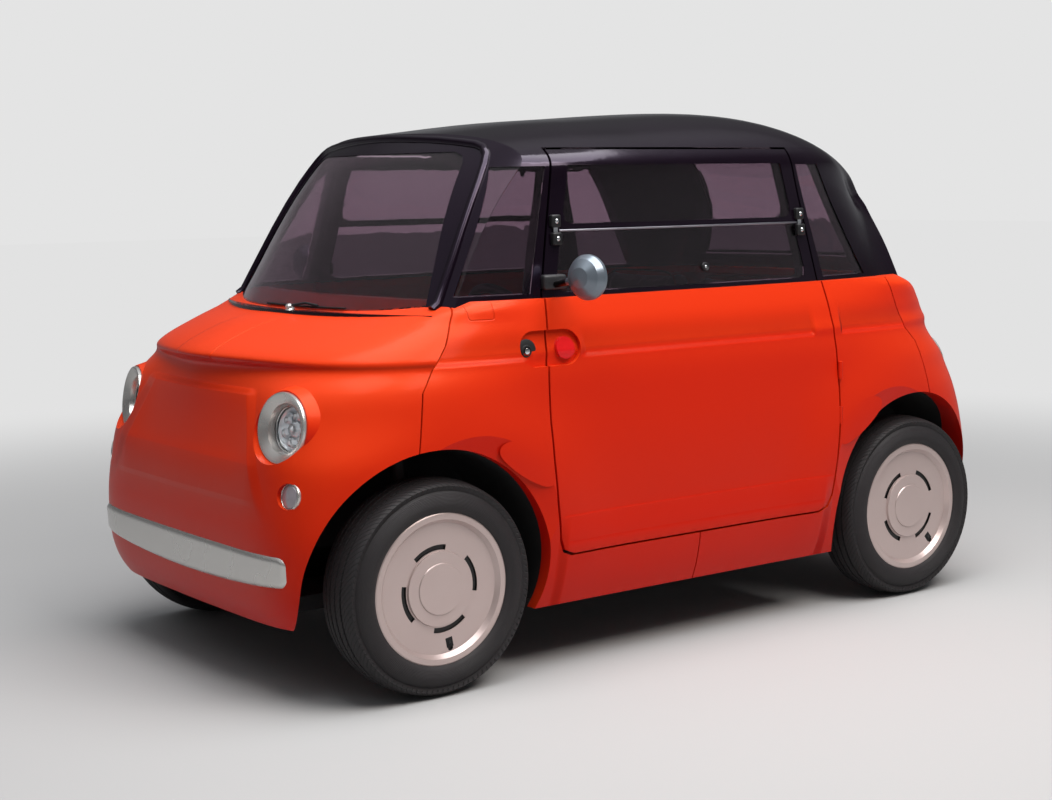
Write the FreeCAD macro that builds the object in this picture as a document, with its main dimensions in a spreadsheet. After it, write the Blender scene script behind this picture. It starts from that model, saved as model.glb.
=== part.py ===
# Small electric two-seater: body shell, doors, glass, cabin, running gear and wheels.
# Millimetres, -Y is the front, +X is the car's left, Z is up from the ground.
import FreeCAD, Part
import math
import os
import Sketcher

Vector = FreeCAD.Vector
Rotation = FreeCAD.Rotation
Placement = FreeCAD.Placement

doc = FreeCAD.newDocument("microcar")
sheet = doc.addObject("Spreadsheet::Sheet", "Sizes")

# Driving dimensions
driving_sizes = {
    "overall_length": 2536,
    "body_width": 1384,
    "overall_height": 1496,
    "wheelbase": 1728,
    "track_width": 1200,
    "belt_height": 990,
    "sill_height": 172,
    "shell_thickness": 45,
    "frame_thickness": 42,
    "glass_thickness": 5,
    "glass_recess": 2,
    "panel_gap": 4,
    "door_gap": 6,
    "door_half_length": 531,
    "door_bottom": 316,
    "door_flange": 20,
    "door_step": 9,
    "arch_radius": 340,
    "arch_shift": 6,
    "arch_rise": 16,
    "flare_width": 62,
    "flare_side": 694,
    "tyre_diameter": 557,
    "tyre_width": 155,
    "rim_diameter": 356,
    "rim_width": 114,
    "rim_lip": 20,
    "cap_face": 63,
    "spindle_diameter": 40,
    "running_clearance": 0.3,
    "cut_overrun": 50,
    "floor_height": 200,
    "floor_thickness": 40,
    "bulkhead_distance": 660,
    "bulkhead_thickness": 12,
    "liner_thickness": 4,
    "liner_inner_wall": 356,
    "headlamp_side": 447,
    "headlamp_height": 694,
    "headlamp_radius": 90,
    "headlamp_depth": 70,
    "marker_side": 528,
    "marker_height": 537,
    "marker_radius": 32,
    "bumper_height": 350,
    "bumper_depth": 76,
    "bumper_corner": 24,
    "bumper_thickness": 7,
    "bumper_half_width": 535,
    "seat_side": 285,
    "seat_width": 440,
    "seat_length": 450,
    "cushion_height": 420,
    "cushion_thickness": 95,
    "backrest_height": 560,
    "backrest_thickness": 85,
    "steering_wheel_diameter": 360,
    "steering_rim_diameter": 28,
    "kingpin_lean": 80,
    "mirror_diameter": 118,
    "hinge_side": 687,
    "hinge_diameter": 13,
    "plate_bolt_spacing": 240,
    "plate_bolt_diameter": 6,
}

for row, (alias, value) in enumerate(driving_sizes.items(), start=1):
    sheet.set(f"A{row}", alias)
    sheet.set(f"B{row}", str(value))
    sheet.setAlias(f"B{row}", alias)
doc.recompute()


def size(alias):
    return float(getattr(sheet, alias))


half_length = size("overall_length") / 2 - size("bumper_thickness")
half_width = size("body_width") / 2
wheel_distance = size("wheelbase") / 2
wheel_side = size("track_width") / 2
wheel_height = size("tyre_diameter") / 2
belt = size("belt_height")
roof_height = size("overall_height")
overrun = size("cut_overrun")
shell = size("shell_thickness")
arch_distance = wheel_distance + size("arch_shift")
arch_height = wheel_height + size("arch_rise")

sides = {"left": 1, "right": -1}
ends = {"front": -1, "rear": 1}
nodes = {}

# Lower body by level: height / belt, half width / half body width, corner exponent, then for the front
# and for the rear end its distance / half length and how far it bows back towards the corners
body_level_shares = (
    (0.175, 0.905, 8.5, (0.958, 0.01), (0.958, 0.01)),
    (0.208, 0.925, 8.5, (0.980, 0.01), (0.980, 0.01)),
    (0.250, 0.943, 9.0, (0.993, 0.01), (0.993, 0.01)),
    (0.300, 0.957, 9.5, (0.998, 0.01), (0.998, 0.01)),
    (0.355, 0.968, 9.0, (1.000, 0.01), (1.000, 0.01)),
    (0.410, 0.976, 8.5, (1.003, 0.01), (1.003, 0.01)),
    (0.465, 0.980, 8.0, (1.002, 0.01), (1.002, 0.01)),
    (0.520, 0.982, 7.5, (0.998, 0.01), (0.998, 0.01)),
    (0.570, 0.983, 7.3, (0.990, 0.01), (0.990, 0.01)),
    (0.615, 0.983, 7.0, (0.981, 0.01), (0.981, 0.01)),
    (0.660, 0.982, 6.5, (0.971, 0.02), (0.975, 0.01)),
    (0.711, 0.980, 6.0, (0.962, 0.03), (0.968, 0.02)),
    (0.751, 0.979, 6.0, (0.957, 0.045), (0.960, 0.03)),
    (0.782, 0.978, 6.0, (0.953, 0.06), (0.953, 0.055)),
    (0.807, 0.976, 6.0, (0.946, 0.08), (0.946, 0.07)),
    (0.827, 0.973, 6.0, (0.941, 0.105), (0.943, 0.08)),
    (0.844, 0.970, 6.0, (0.944, 0.12), (0.948, 0.09)),
    (0.858, 0.972, 6.0, (0.961, 0.145), (0.962, 0.105)),
    (0.870, 0.968, 6.0, (0.956, 0.155), (0.960, 0.11)),
    (0.883, 0.962, 6.2, (0.941, 0.16), (0.955, 0.115)),
    (0.898, 0.957, 6.5, (0.919, 0.17), (0.945, 0.115)),
    (0.914, 0.952, 7.0, (0.890, 0.18), (0.930, 0.11)),
    (0.932, 0.946, 7.5, (0.855, 0.185), (0.912, 0.105)),
    (0.949, 0.939, 8.5, (0.803, 0.175), (0.893, 0.10)),
    (0.967, 0.931, 10.0, (0.739, 0.13), (0.868, 0.095)),
    (0.983, 0.924, 12.0, (0.690, 0.10), (0.840, 0.095)),
    (1.000, 0.916, 12.0, (0.645, 0.09), (0.800, 0.095)),
)
bow_exponent = 1.5
flare_bulge_share = 0.016
flare_ring_share = 0.022
flare_reach_share = 0.30
flare_ring_reach_share = 0.32
pod_bulge_share = 0.30
pod_reach_share = 1.15
net_columns = 104


def flare(distance, height):
    """How far the side swells out over a wheel, with a ridge round the wheel arch."""
    along = (abs(distance) - wheel_distance) / (wheel_distance * flare_reach_share)
    rise = (height - size("arch_radius") - overrun) / (belt * flare_reach_share)
    swell = flare_bulge_share * math.exp(-along * along - rise * rise)
    radius = math.hypot(abs(distance) - arch_distance, height - arch_height)
    ring = (radius / size("arch_radius") - 1.18) / flare_ring_reach_share
    fade = 1 / (1 + math.exp((wheel_height - height) / overrun))
    return half_width * (swell + fade * flare_ring_share * math.exp(-ring * ring))


def pod(across, height):
    """How far the ends swell out behind a lamp."""
    reach = size("headlamp_radius") * pod_reach_share
    aside = (abs(across) - size("headlamp_side")) / reach
    rise = (height - size("headlamp_height")) / reach
    return size("headlamp_radius") * pod_bulge_share * math.exp(-aside * aside - rise * rise)


def level_points(level, inset, drop):
    height_share, wide_share, exponent, front, rear = level
    height = height_share * belt
    wide = wide_share * half_width
    points = []
    for index in range(net_columns):
        angle = 2 * math.pi * (index + 0.5) / net_columns
        across, along = math.cos(angle), math.sin(angle)
        reach = (abs(across) ** exponent + abs(along) ** exponent) ** (-1 / exponent)
        long_share, bow = rear if along > 0 else front
        x = (wide - inset) * reach * across
        y = (long_share * half_length - inset) * reach * along
        y *= 1 - bow * abs(x / wide) ** bow_exponent
        y += math.copysign(pod(x, height) * abs(along * reach) ** exponent, y)
        x += math.copysign(flare(y, height) * abs(across * reach) ** exponent, x)
        points.append(Vector(x, y, height - drop))
    return points


def body_block(inset, drop):
    """The solid inside a smooth skin whose control net has one row for each level."""
    rows = [level_points(level, inset, drop) for level in body_level_shares]
    columns = [[row[index] for row in rows] for index in range(net_columns)]
    inner_knots = len(rows) - 3
    skin = Part.BSplineSurface()
    skin.buildFromPolesMultsKnots(
        columns, [1] * (net_columns + 1), [4] + [1] * (inner_knots - 1) + [4],
        [float(knot) for knot in range(net_columns + 1)], [float(knot) for knot in range(inner_knots + 1)],
        True, False, 3, 3)
    low_face = Part.Face(Part.Wire([skin.vIso(0.0).toShape()]))
    top_face = Part.Face(Part.Wire([skin.vIso(float(inner_knots)).toShape()]))
    block = Part.makeSolid(Part.makeShell([skin.toShape(), low_face, top_face]))
    if block.Volume < 0:
        block.reverse()
    if not drop:
        return block
    return block.fuse(top_face.extrude(Vector(0, 0, drop + overrun)))


def box(x_low, x_high, y_low, y_high, z_low, z_high):
    return Part.makeBox(x_high - x_low, y_high - y_low, z_high - z_low, Vector(x_low, y_low, z_low))


def side_prism(outline, x_low, x_high):
    """A side-view outline, given as (y, z) points, pushed across the car."""
    points = [Vector(x_low, y, z) for y, z in outline]
    face = Part.Face(Part.makePolygon(points + points[:1]))
    return face.extrude(Vector(x_high - x_low, 0, 0))


def mirror_side(shape):
    return shape.mirror(Vector(0, 0, 0), Vector(1, 0, 0))


def turn_round(shape):
    return shape.rotated(Vector(0, 0, 0), Vector(0, 0, 1), 180)


def keep(name, shape):
    """Puts a shape in the document as a named sub-part."""
    feature = doc.addObject("Part::Feature", name)
    feature.Shape = shape
    feature.Placement = shape.Placement
    feature.Label = name
    nodes[name] = feature
    return feature


outer_block = body_block(0, 0)
inner_drop = shell / 2
inner_block = body_block(shell, inner_drop)

# Greenhouse: cross sections along the car give its sides and roof
greenhouse_foot = 0.9 * belt
shoulder_height = 1.32 * belt
least_crown = 0.06 * belt
rail_height = 1.383 * belt
belt_side = 0.905 * half_width
belt_taper = 0.0795 * half_width
rail_side = 0.853 * half_width
rail_taper = 0.231 * half_width
taper_distance = 0.903 * wheel_distance
crown_exponent = 2.4
roof_line_shares = (
    (-0.95, 0.866), (-0.80, 0.900), (-0.63, 0.933), (-0.49, 0.9525), (-0.355, 0.9655), (-0.22, 0.978),
    (-0.08, 0.986), (0.065, 0.9935), (0.215, 0.9995), (0.38, 0.995), (0.52, 0.967), (0.62, 0.926),
    (0.72, 0.875), (0.95, 0.80),
)


def half_side(distance, height):
    reach = abs(distance) / taper_distance
    taper = min(reach, 1) ** 4 + 4 * max(reach - 1, 0)
    low = belt_side - belt_taper * taper
    high = rail_side - rail_taper * taper
    return low + (high - low) * (height - belt) / (rail_height - belt)


def cabin_wire(distance, roof, inset):
    top = roof - inset
    shoulder = min(shoulder_height, top - least_crown)
    right_side = []
    for height in (greenhouse_foot - inset, belt, (belt + shoulder) / 2, shoulder):
        right_side.append(Vector(half_side(distance, height) - inset, distance, height))
    for step in range(1, 8):
        angle = math.pi / 2 * step / 8
        across = math.cos(angle) ** (2 / crown_exponent)
        rise = math.sin(angle) ** (2 / crown_exponent)
        wide = half_side(distance, shoulder) - inset
        right_side.append(Vector(wide * across, distance, shoulder + (top - shoulder) * rise))
    left_side = [Vector(-p.x, p.y, p.z) for p in reversed(right_side)]
    curve = Part.BSplineCurve()
    curve.interpolate(right_side + [Vector(0, distance, top)] + left_side)
    floor_line = Part.LineSegment(left_side[-1], right_side[0])
    return Part.Wire([curve.toShape(), floor_line.toShape()])


def cabin_sides(inset):
    wires = [cabin_wire(share * half_length, roof * roof_height, inset) for share, roof in roof_line_shares]
    return Part.makeLoft(wires, True, False)


# The windscreen and the rear window are curved faces that lean back: height / belt, distance / half length
windscreen_shares = (
    (0.88, 0.775), (0.95, 0.741), (0.99, 0.721), (1.12, 0.657), (1.27, 0.579), (1.40, 0.494), (1.52, 0.40))
rear_window_shares = (
    (0.88, 0.868), (0.95, 0.862), (0.99, 0.854), (1.12, 0.826), (1.27, 0.765), (1.40, 0.642), (1.52, 0.48))
screen_sweep = 1.48 * half_width


def cabin_ends(inset):
    wires = []
    for front, rear in zip(windscreen_shares, rear_window_shares):
        height = front[0] * belt
        if front is windscreen_shares[0]:
            height -= inset
        sag = half_width ** 2 / (2 * screen_sweep)
        front_y = inset - front[1] * half_length
        rear_y = rear[1] * half_length - inset
        corners = (
            Vector(-half_width, front_y + sag, height), Vector(half_width, front_y + sag, height),
            Vector(half_width, rear_y - sag, height), Vector(-half_width, rear_y - sag, height))
        front_arc = Part.Arc(corners[0], Vector(0, front_y, height), corners[1])
        rear_arc = Part.Arc(corners[2], Vector(0, rear_y, height), corners[3])
        wires.append(Part.Wire([
            front_arc.toShape(), Part.LineSegment(corners[1], corners[2]).toShape(),
            rear_arc.toShape(), Part.LineSegment(corners[3], corners[0]).toShape()]))
    return Part.makeLoft(wires, True, False)


def cabin_block(inset):
    return cabin_sides(inset).common(cabin_ends(inset))


cabin_outer = cabin_block(0)
cabin_inner = cabin_block(size("frame_thickness"))


def pin(centre, direction, radius, length):
    return Part.makeCylinder(radius, length, centre, direction)


def arc_outline(front_low, front_high, bulge, steps=6):
    """Points of a side-view edge from low to high that swells by a named amount on the way."""
    points = []
    for step in range(steps + 1):
        share = step / steps
        swell = bulge * math.sin(math.pi * share)
        points.append((
            front_low[0] + (front_high[0] - front_low[0]) * share + swell,
            front_low[1] + (front_high[1] - front_low[1]) * share))
    return points


# Door: its outline seen from the side, the same towards both ends
door_top = rail_height + size("door_gap")
door_foot = size("door_half_length") * 0.938
door_waist = size("door_half_length") * 0.945
door_head = size("door_half_length") * 0.80
door_swell = size("door_half_length") * 0.050
door_corner = 0.045 * belt


def door_outline(grow):
    low = size("door_bottom") - grow
    edge = arc_outline((door_foot + grow, low + door_corner), (door_waist + grow, belt), door_swell)
    right = [(door_foot + grow - door_corner, low), (door_foot + grow - door_corner * 0.3, low + door_corner * 0.3)]
    right += edge + [(door_head + grow, door_top + grow)]
    left = [(-y, z) for y, z in reversed(right)]
    return right + left


def door_block(grow, side):
    reach = half_width + overrun
    return side_prism(door_outline(grow), min(0, side * reach), max(0, side * reach))


# Lower panels: the hollow shell, cut along its real seams
shell_body = outer_block.cut(inner_block)
flare_drop = size("flare_width") / 5
for end in ends.values():
    shell_body = shell_body.cut(pin(
        Vector(-half_width - overrun, end * arch_distance, arch_height), Vector(1, 0, 0),
        size("arch_radius"), 2 * (half_width + overrun)))
    for side in sides.values():
        shell_body = shell_body.cut(Part.makeCone(
            size("arch_radius") - size("flare_width"), size("arch_radius") + size("flare_width"), 2 * flare_drop,
            Vector(side * (size("flare_side") - 2 * flare_drop), end * arch_distance, arch_height),
            Vector(side, 0, 0)))

# Seams between the end panels and the side panels: distance / wheel distance, height / belt
seam_shares = {
    -1: ((0.870, 1.0), (0.907, 0.946), (0.941, 0.895), (0.996, 0.838), (1.041, 0.782), (1.075, 0.631)),
    1: ((0.914, 1.0), (0.949, 0.914), (0.984, 0.848), (1.042, 0.798), (1.072, 0.707), (1.088, 0.631)),
}
gap = size("panel_gap")


def end_prism(end):
    """Everything beyond the seam between an end panel and the side panels."""
    seam = [(end * along * wheel_distance, height * belt) for along, height in seam_shares[end]]
    outline = [(seam[0][0], belt + overrun)] + seam
    outline += [(seam[-1][0], -overrun), (end * (half_length + overrun), -overrun),
                (end * (half_length + overrun), belt + overrun)]
    return side_prism(outline, -half_width - overrun, half_width + overrun)


def side_zone(end, side):
    """One quarter of the car between the seam and the sill's middle."""
    seam = [(end * (along * wheel_distance - gap), height * belt) for along, height in seam_shares[end]]
    outline = [(end * gap / 2, belt + overrun), (seam[0][0], belt + overrun)] + seam
    outline += [(seam[-1][0], -overrun), (end * gap / 2, -overrun)]
    inside = half_width / 3
    reach = half_width + overrun
    return side_prism(outline, min(side * inside, side * reach), max(side * inside, side * reach))


# Recess round the latch: a capsule across the door's edge, sunk into the skin
latch_height = 0.872 * belt
latch_distance = 0.965 * size("door_half_length")
latch_length = 0.36 * size("door_half_length")
latch_radius = 0.047 * belt
latch_depth = 0.012 * belt


def capsule(length, radius):
    """A capsule seen from the side, pushed through the left of the car."""
    start = Vector(0, -latch_distance, latch_height)
    straight = length / 2 - radius
    solid = Part.makeBox(half_width, 2 * straight, 2 * radius, start - Vector(0, straight, radius))
    for shift in (-straight, straight):
        solid = solid.fuse(pin(start + Vector(0, shift, 0), Vector(1, 0, 0), radius, half_width))
    return solid


latch_recess = capsule(latch_length, latch_radius).cut(body_block(latch_depth, 0))


def lamp_place(side, height, across, stand_off):
    """Centre and outward direction of a front lamp, turned a little to the side and upwards."""
    turn, lift = math.radians(lamp_turn), math.radians(lamp_lift)
    normal = Vector(side * math.sin(turn) * math.cos(lift), -math.cos(turn) * math.cos(lift), math.sin(lift))
    return Vector(side * across, -stand_off, height), normal


lamp_turn = 10
lamp_lift = 9
headlamp_stand = 0.934 * half_length
tail_lamp_stand = 0.926 * half_length
marker_stand = 0.955 * half_length


def turn_site(site):
    centre, normal = site
    half_turn = Rotation(Vector(0, 0, 1), 180)
    return half_turn.multVec(centre), half_turn.multVec(normal)


def lamp_sites(height, across, front_stand, rear_stand):
    """Both lamps of the front and both of the rear, as centres with outward directions."""
    front = [lamp_place(side, height, across, front_stand) for side in sides.values()]
    rear = [turn_site(lamp_place(side, height, across, rear_stand)) for side in sides.values()]
    return {-1: front, 1: rear}


headlamp_sites = lamp_sites(size("headlamp_height"), size("headlamp_side"), headlamp_stand, tail_lamp_stand)
marker_sites = lamp_sites(size("marker_height"), size("marker_side"), marker_stand, marker_stand)
clearance = size("running_clearance")
plate_bolt_side = size("plate_bolt_spacing") / 2
plate_bolt_height = 0.48 * belt
plate_bolt_radius = size("plate_bolt_diameter") / 2

# Hinges of the left door stand at its rear edge, those of the right door at its front edge
hinge_side = size("hinge_side")
hinge_distance = size("door_half_length") + clearance
hinge_radius = size("hinge_diameter") / 2
hinge_length = 0.052 * belt
hinge_heights = (0.575 * belt, 0.71 * belt)


def notch_hinges(panel, side):
    """Cuts the space round a door's hinge barrels out of a panel."""
    for height in hinge_heights:
        start = Vector(side * hinge_side, side * hinge_distance, height - clearance)
        space = pin(start, Vector(0, 0, 1), hinge_radius + clearance, hinge_length + 2 * clearance)
        panel = panel.cut(space.rotated(start, Vector(0, 0, 1), 40))
    return panel


def turned(profile, centre, normal):
    """A solid turned about an axis, its profile given as (radius, distance along the axis)."""
    points = [Vector(radius, 0, along) for radius, along in profile]
    face = Part.Face(Part.makePolygon(points + points[:1]))
    solid = face.revolve(Vector(0, 0, 0), Vector(0, 0, 1), 360)
    solid.Placement = Placement(centre, Rotation(Vector(0, 0, 1), normal))
    return solid


def end_panel(end):
    """A front or rear panel that ends above the sill, the front one with a raised collar round each lamp."""
    panel = shell_body.common(end_prism(end)).cut(box(
        -half_width, half_width, min(0, end * half_length), max(0, end * half_length), 0, chin_height))
    radius = size("headlamp_radius")
    collar = ((0, -0.60 * radius), (0, 0), (1.06 * radius, 0), (1.11 * radius, -0.10 * radius),
              (1.24 * radius, -0.38 * radius), (1.36 * radius, -0.60 * radius))
    if end < 0:
        panel = panel.fuse([turned(collar, centre, normal) for centre, normal in headlamp_sites[end]])
    for centre, normal in headlamp_sites[end]:
        start = centre - normal * size("headlamp_depth")
        panel = panel.cut(pin(start, normal, radius + clearance, 3 * size("headlamp_depth")))
    for centre, normal in marker_sites[end]:
        start = centre - normal * size("marker_radius")
        panel = panel.cut(pin(start, normal, size("marker_radius") + clearance, 3 * size("marker_radius")))
    return panel


chin_height = 0.197 * belt


def lower_panels():
    keep("nose_panel", end_panel(-1))
    tail = end_panel(1)
    for shift in (-plate_bolt_side, plate_bolt_side):
        start = Vector(shift, half_length + overrun, plate_bolt_height)
        tail = tail.cut(pin(start, Vector(0, -1, 0), plate_bolt_radius, 3 * overrun))
    keep("tail_panel", tail)
    for end_name, end in ends.items():
        panels = []
        for side in sides.values():
            panel = shell_body.common(side_zone(end, side)).cut(door_block(size("door_gap"), side))
            if side * end > 0:
                panel = notch_hinges(panel, side)
            else:
                panel = panel.cut(latch_recess if end < 0 else turn_round(latch_recess))
            panels.append(panel)
        keep(f"{end_name}_side_panels", Part.makeCompound(panels))


lower_panels()

# Cabin frame, roof and glass
frame_shell = cabin_outer.cut(cabin_inner)
upper_shell = frame_shell.cut(outer_block)
roof_seam = rail_height + 2 * size("door_gap")
seam_drop_shares = ((-1.0, 0.0), (0.44, 0.0), (0.53, 0.007), (0.62, 0.026), (1.0, 0.12))
top_zone = side_prism(
    [(along * half_length, roof_seam - drop * belt) for along, drop in seam_drop_shares]
    + [(half_length, roof_height + overrun), (-half_length, roof_height + overrun)], -half_width, half_width)
windscreen_foot_share = 0.76
windscreen_head_share = 0.57
screen_foot = 0.93 * belt
screen_head = 1.388 * belt
rear_foot = 1.045 * belt


def front_view_prism(foot_half, head_half, foot, head, end):
    """A trapezium seen from the front, pushed through one end of the cabin."""
    corner = 0.03 * belt
    right = [(foot_half, foot), (head_half, head - corner), (head_half - corner, head)]
    left = [(-x, z) for x, z in reversed(right)]
    depth = 0.46 * half_length
    points = [Vector(x, end * depth, z) for x, z in right + left]
    face = Part.Face(Part.makePolygon(points + points[:1]))
    return face.extrude(Vector(0, end * half_length, 0))


def cowl_strip():
    """The black strip between the bonnet and the windscreen."""
    start, back, side = 0.763 * half_length, 0.62 * half_length, 0.81 * half_width
    sag = side ** 2 / (2 * screen_sweep)
    low, high = 0.945 * belt, 0.968 * belt
    corners = [Vector(-side, sag - start, low), Vector(side, sag - start, low), Vector(side, -back, low),
               Vector(-side, -back, low)]
    edges = [Part.Arc(corners[0], Vector(0, -start, low), corners[1]).toShape()]
    edges += [Part.LineSegment(corners[index], corners[(index + 1) % 4]).toShape() for index in (1, 2, 3)]
    strip = Part.Face(Part.Wire(edges)).extrude(Vector(0, 0, high - low))
    return strip.cut(outer_block).cut(cabin_block(-clearance))


def quarter_outline(end, shrink):
    """A quarter window seen from the side, between the door and the corner pillar."""
    low, high = 1.012 * belt + shrink, 1.345 * belt - shrink
    door_low, door_high = 0.618 * wheel_distance + shrink, 0.525 * wheel_distance + shrink
    pillar_low, pillar_high = 0.862 * wheel_distance - shrink, 0.655 * wheel_distance - shrink
    return [(end * door_low, low), (end * door_high, high), (end * pillar_high, high), (end * pillar_low, low)]


def door_window_outline(shrink, low_share, high_share):
    """A pane of the door seen from the side, rounded at its lower corners."""
    low, high = low_share * belt + shrink, high_share * belt - shrink
    half_low = 0.866 * size("door_half_length") - shrink
    half_high = 0.725 * size("door_half_length") - shrink
    window_low, window_high = 1.012 * belt, 1.348 * belt
    corner = 0.032 * belt

    def half_at(height):
        return half_low + (half_high - half_low) * (height - window_low) / (window_high - window_low)

    right = [(half_at(low) - corner, low), (half_at(low) - corner * 0.3, low + corner * 0.3),
             (half_at(low + corner), low + corner), (half_at(high), high)]
    return right + [(-y, z) for y, z in reversed(right)]


reach = half_width + overrun
screen_hole = front_view_prism(
    windscreen_foot_share * half_width, windscreen_head_share * half_width, screen_foot, screen_head, -1)
rear_hole = front_view_prism(0.60 * half_width, 0.42 * half_width, rear_foot, screen_head, 1)
pane_shell = cabin_block(size("glass_recess")).cut(cabin_block(size("glass_recess") + size("glass_thickness")))
pane_shell = pane_shell.cut(outer_block)


def cabin_parts():
    frame = upper_shell.cut(top_zone)
    upper_hole = side_prism(door_window_outline(0, 1.192, 1.348), 0, reach)
    lower_hole = side_prism(door_window_outline(0, 1.012, 1.172), 0, reach)
    door_frame = frame.common(door_block(0, 1)).cut(upper_hole).cut(lower_hole)
    door_frame = door_frame.common(box(0, reach, -reach, reach, belt, roof_height))
    upper_pane = side_prism(door_window_outline(clearance, 1.192, 1.348), 0, reach)
    lower_pane = side_prism(door_window_outline(clearance, 1.012, 1.172), 0, reach)
    panes = Part.makeCompound(pane_shell.common(upper_pane).Solids + pane_shell.common(lower_pane).Solids)
    keep("door_frame_left", door_frame)
    keep("door_frame_right", mirror_side(door_frame))
    keep("door_glass_left", panes)
    keep("door_glass_right", mirror_side(panes))
    quarters = []
    for side in sides.values():
        frame = frame.cut(door_block(size("door_gap"), side))
    for end in ends.values():
        frame = frame.cut(side_prism(quarter_outline(end, 0), -reach, reach))
        pane = pane_shell.common(side_prism(quarter_outline(end, clearance), 0, reach))
        quarters += pane.Solids + mirror_side(pane).Solids
    frame = frame.cut(screen_hole).cut(rear_hole)
    keep("cabin_frame", Part.makeCompound(frame.Solids + cowl_strip().Solids))
    keep("roof_panel", upper_shell.common(top_zone).cut(screen_hole).cut(rear_hole))
    keep("windscreen", pane_shell.common(screen_hole))
    keep("rear_glass", Part.makeCompound(pane_shell.common(rear_hole).Solids + quarters))


cabin_parts()


# Doors below the belt: the skin has the full outline, the inner shell a step all round
def door_shells():
    low_zone = box(0, reach, -reach, reach, 0, belt)
    shell_door = shell_body.common(door_block(0, 1)).common(low_zone)
    outside = shell_door.cut(body_block(size("door_flange"), 0))
    inside = shell_door.common(door_block(-size("door_step"), 1))
    door = notch_hinges(outside.fuse(inside).cut(latch_recess), 1)
    keep("door_left", door)
    keep("door_right", turn_round(door))


door_shells()


def primitive(kind, name, place, turn=None, **expressions):
    """One of the document's own solids, its sizes bound to the sheet."""
    solid = doc.addObject(kind, name)
    for field, expression in expressions.items():
        solid.setExpression(field, expression)
    solid.Placement = Placement(place, turn or Rotation())
    return solid


def joined(kind, name, members):
    """A named sub-part made of the document's own solids, fused or only grouped."""
    group = doc.addObject(kind, name)
    if kind == "Part::Compound":
        group.Links = members
    else:
        group.Shapes = members
    group.Label = name
    nodes[name] = group
    return group


def named(solid):
    solid.Label = solid.Name
    nodes[solid.Name] = solid
    return solid


floor_low = size("floor_height")
floor_top = floor_low + size("floor_thickness")
bulkhead = size("bulkhead_distance")
liner_wall = size("liner_inner_wall")
liner = size("liner_thickness")
arch = size("arch_radius")
arch_top = arch_height + arch + liner
floor_inset = body_block(shell + clearance, inner_drop)


# Floor, bulkheads and wheel liners
def structure():
    arch_start = arch_distance - arch - liner
    main = box(-reach, reach, -arch_start, arch_start, floor_low, floor_top)
    spine_half = liner_wall - 2 * liner
    spine_end = half_length - 2.2 * shell
    spine = box(-spine_half, spine_half, -spine_end, spine_end, floor_low, floor_top)
    keep("floor_pan", main.fuse(spine).common(floor_inset))
    walls = []
    for end in ends.values():
        thick = size("bulkhead_thickness")
        start = end * bulkhead
        y_low, y_high = min(start, start + end * thick), max(start, start + end * thick)
        low = box(-spine_half, spine_half, y_low, y_high, floor_top, arch_top)
        high = box(-reach, reach, y_low, y_high, arch_top + clearance, 0.78 * belt)
        walls += low.fuse(high).common(floor_inset).Solids
    keep("bulkheads", Part.makeCompound(walls))
    shells = []
    for end in ends.values():
        for side in sides.values():
            centre = Vector(side * (liner_wall - liner), end * arch_distance, arch_height)
            across = Vector(side, 0, 0)
            tub = pin(centre, across, arch + liner, half_width / 2).cut(
                pin(centre + across * liner, across, arch, half_width))
            tub = tub.cut(box(-reach, reach, -reach * 2, reach * 2, 0, wheel_height - arch / 4))
            tub = tub.cut(box(-liner_wall, liner_wall, -reach * 2, reach * 2, 0, wheel_height + arch / 4))
            hole = pin(Vector(side * strut_side(arch_top), end * wheel_distance, wheel_height + arch / 2),
                       Vector(0, 0, 1), strut_radius * 2, arch)
            arm_room = 1.6 * arm_half
            tub = tub.cut(hole).cut(box(
                side * 0.66 * wheel_side - arm_room, side * 0.66 * wheel_side + arm_room,
                end * arch_distance - arch - 2 * liner, end * arch_distance, wheel_height - arm_room,
                wheel_height + arm_room)) if end > 0 else tub.cut(hole)
            shells += tub.common(floor_inset).Solids
    keep("wheel_liners", Part.makeCompound(shells))


# Steering axis of a front wheel: it leans in towards the strut's top
kingpin_foot = Vector(wheel_side - 0.42 * size("tyre_width"), -wheel_distance, 0.60 * wheel_height)
kingpin_rise = math.atan(size("kingpin_lean") / (arch_top - kingpin_foot.z))
kingpin_axis = Vector(-math.sin(kingpin_rise), 0, math.cos(kingpin_rise))
strut_radius = 0.14 * size("tyre_width")
ball_radius = 0.105 * size("tyre_width")
shaft_radius = 0.08 * size("tyre_width")
spindle = size("spindle_diameter") / 2
arm_half = 0.14 * size("tyre_width")


def strut_side(height):
    return kingpin_foot.x - math.tan(kingpin_rise) * (height - kingpin_foot.z)


def beam(start, end, half_wide, half_high):
    """A straight rectangular bar between two points, level across the car or along it."""
    low = Vector(min(start.x, end.x), min(start.y, end.y), min(start.z, end.z))
    high = Vector(max(start.x, end.x), max(start.y, end.y), max(start.z, end.z))
    along_x = abs(end.x - start.x) > abs(end.y - start.y)
    grow = Vector(0, half_wide, half_high) if along_x else Vector(half_wide, 0, half_high)
    low, high = low - grow, high + grow
    return box(low.x, high.x, low.y, high.y, low.z, high.z)


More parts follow.
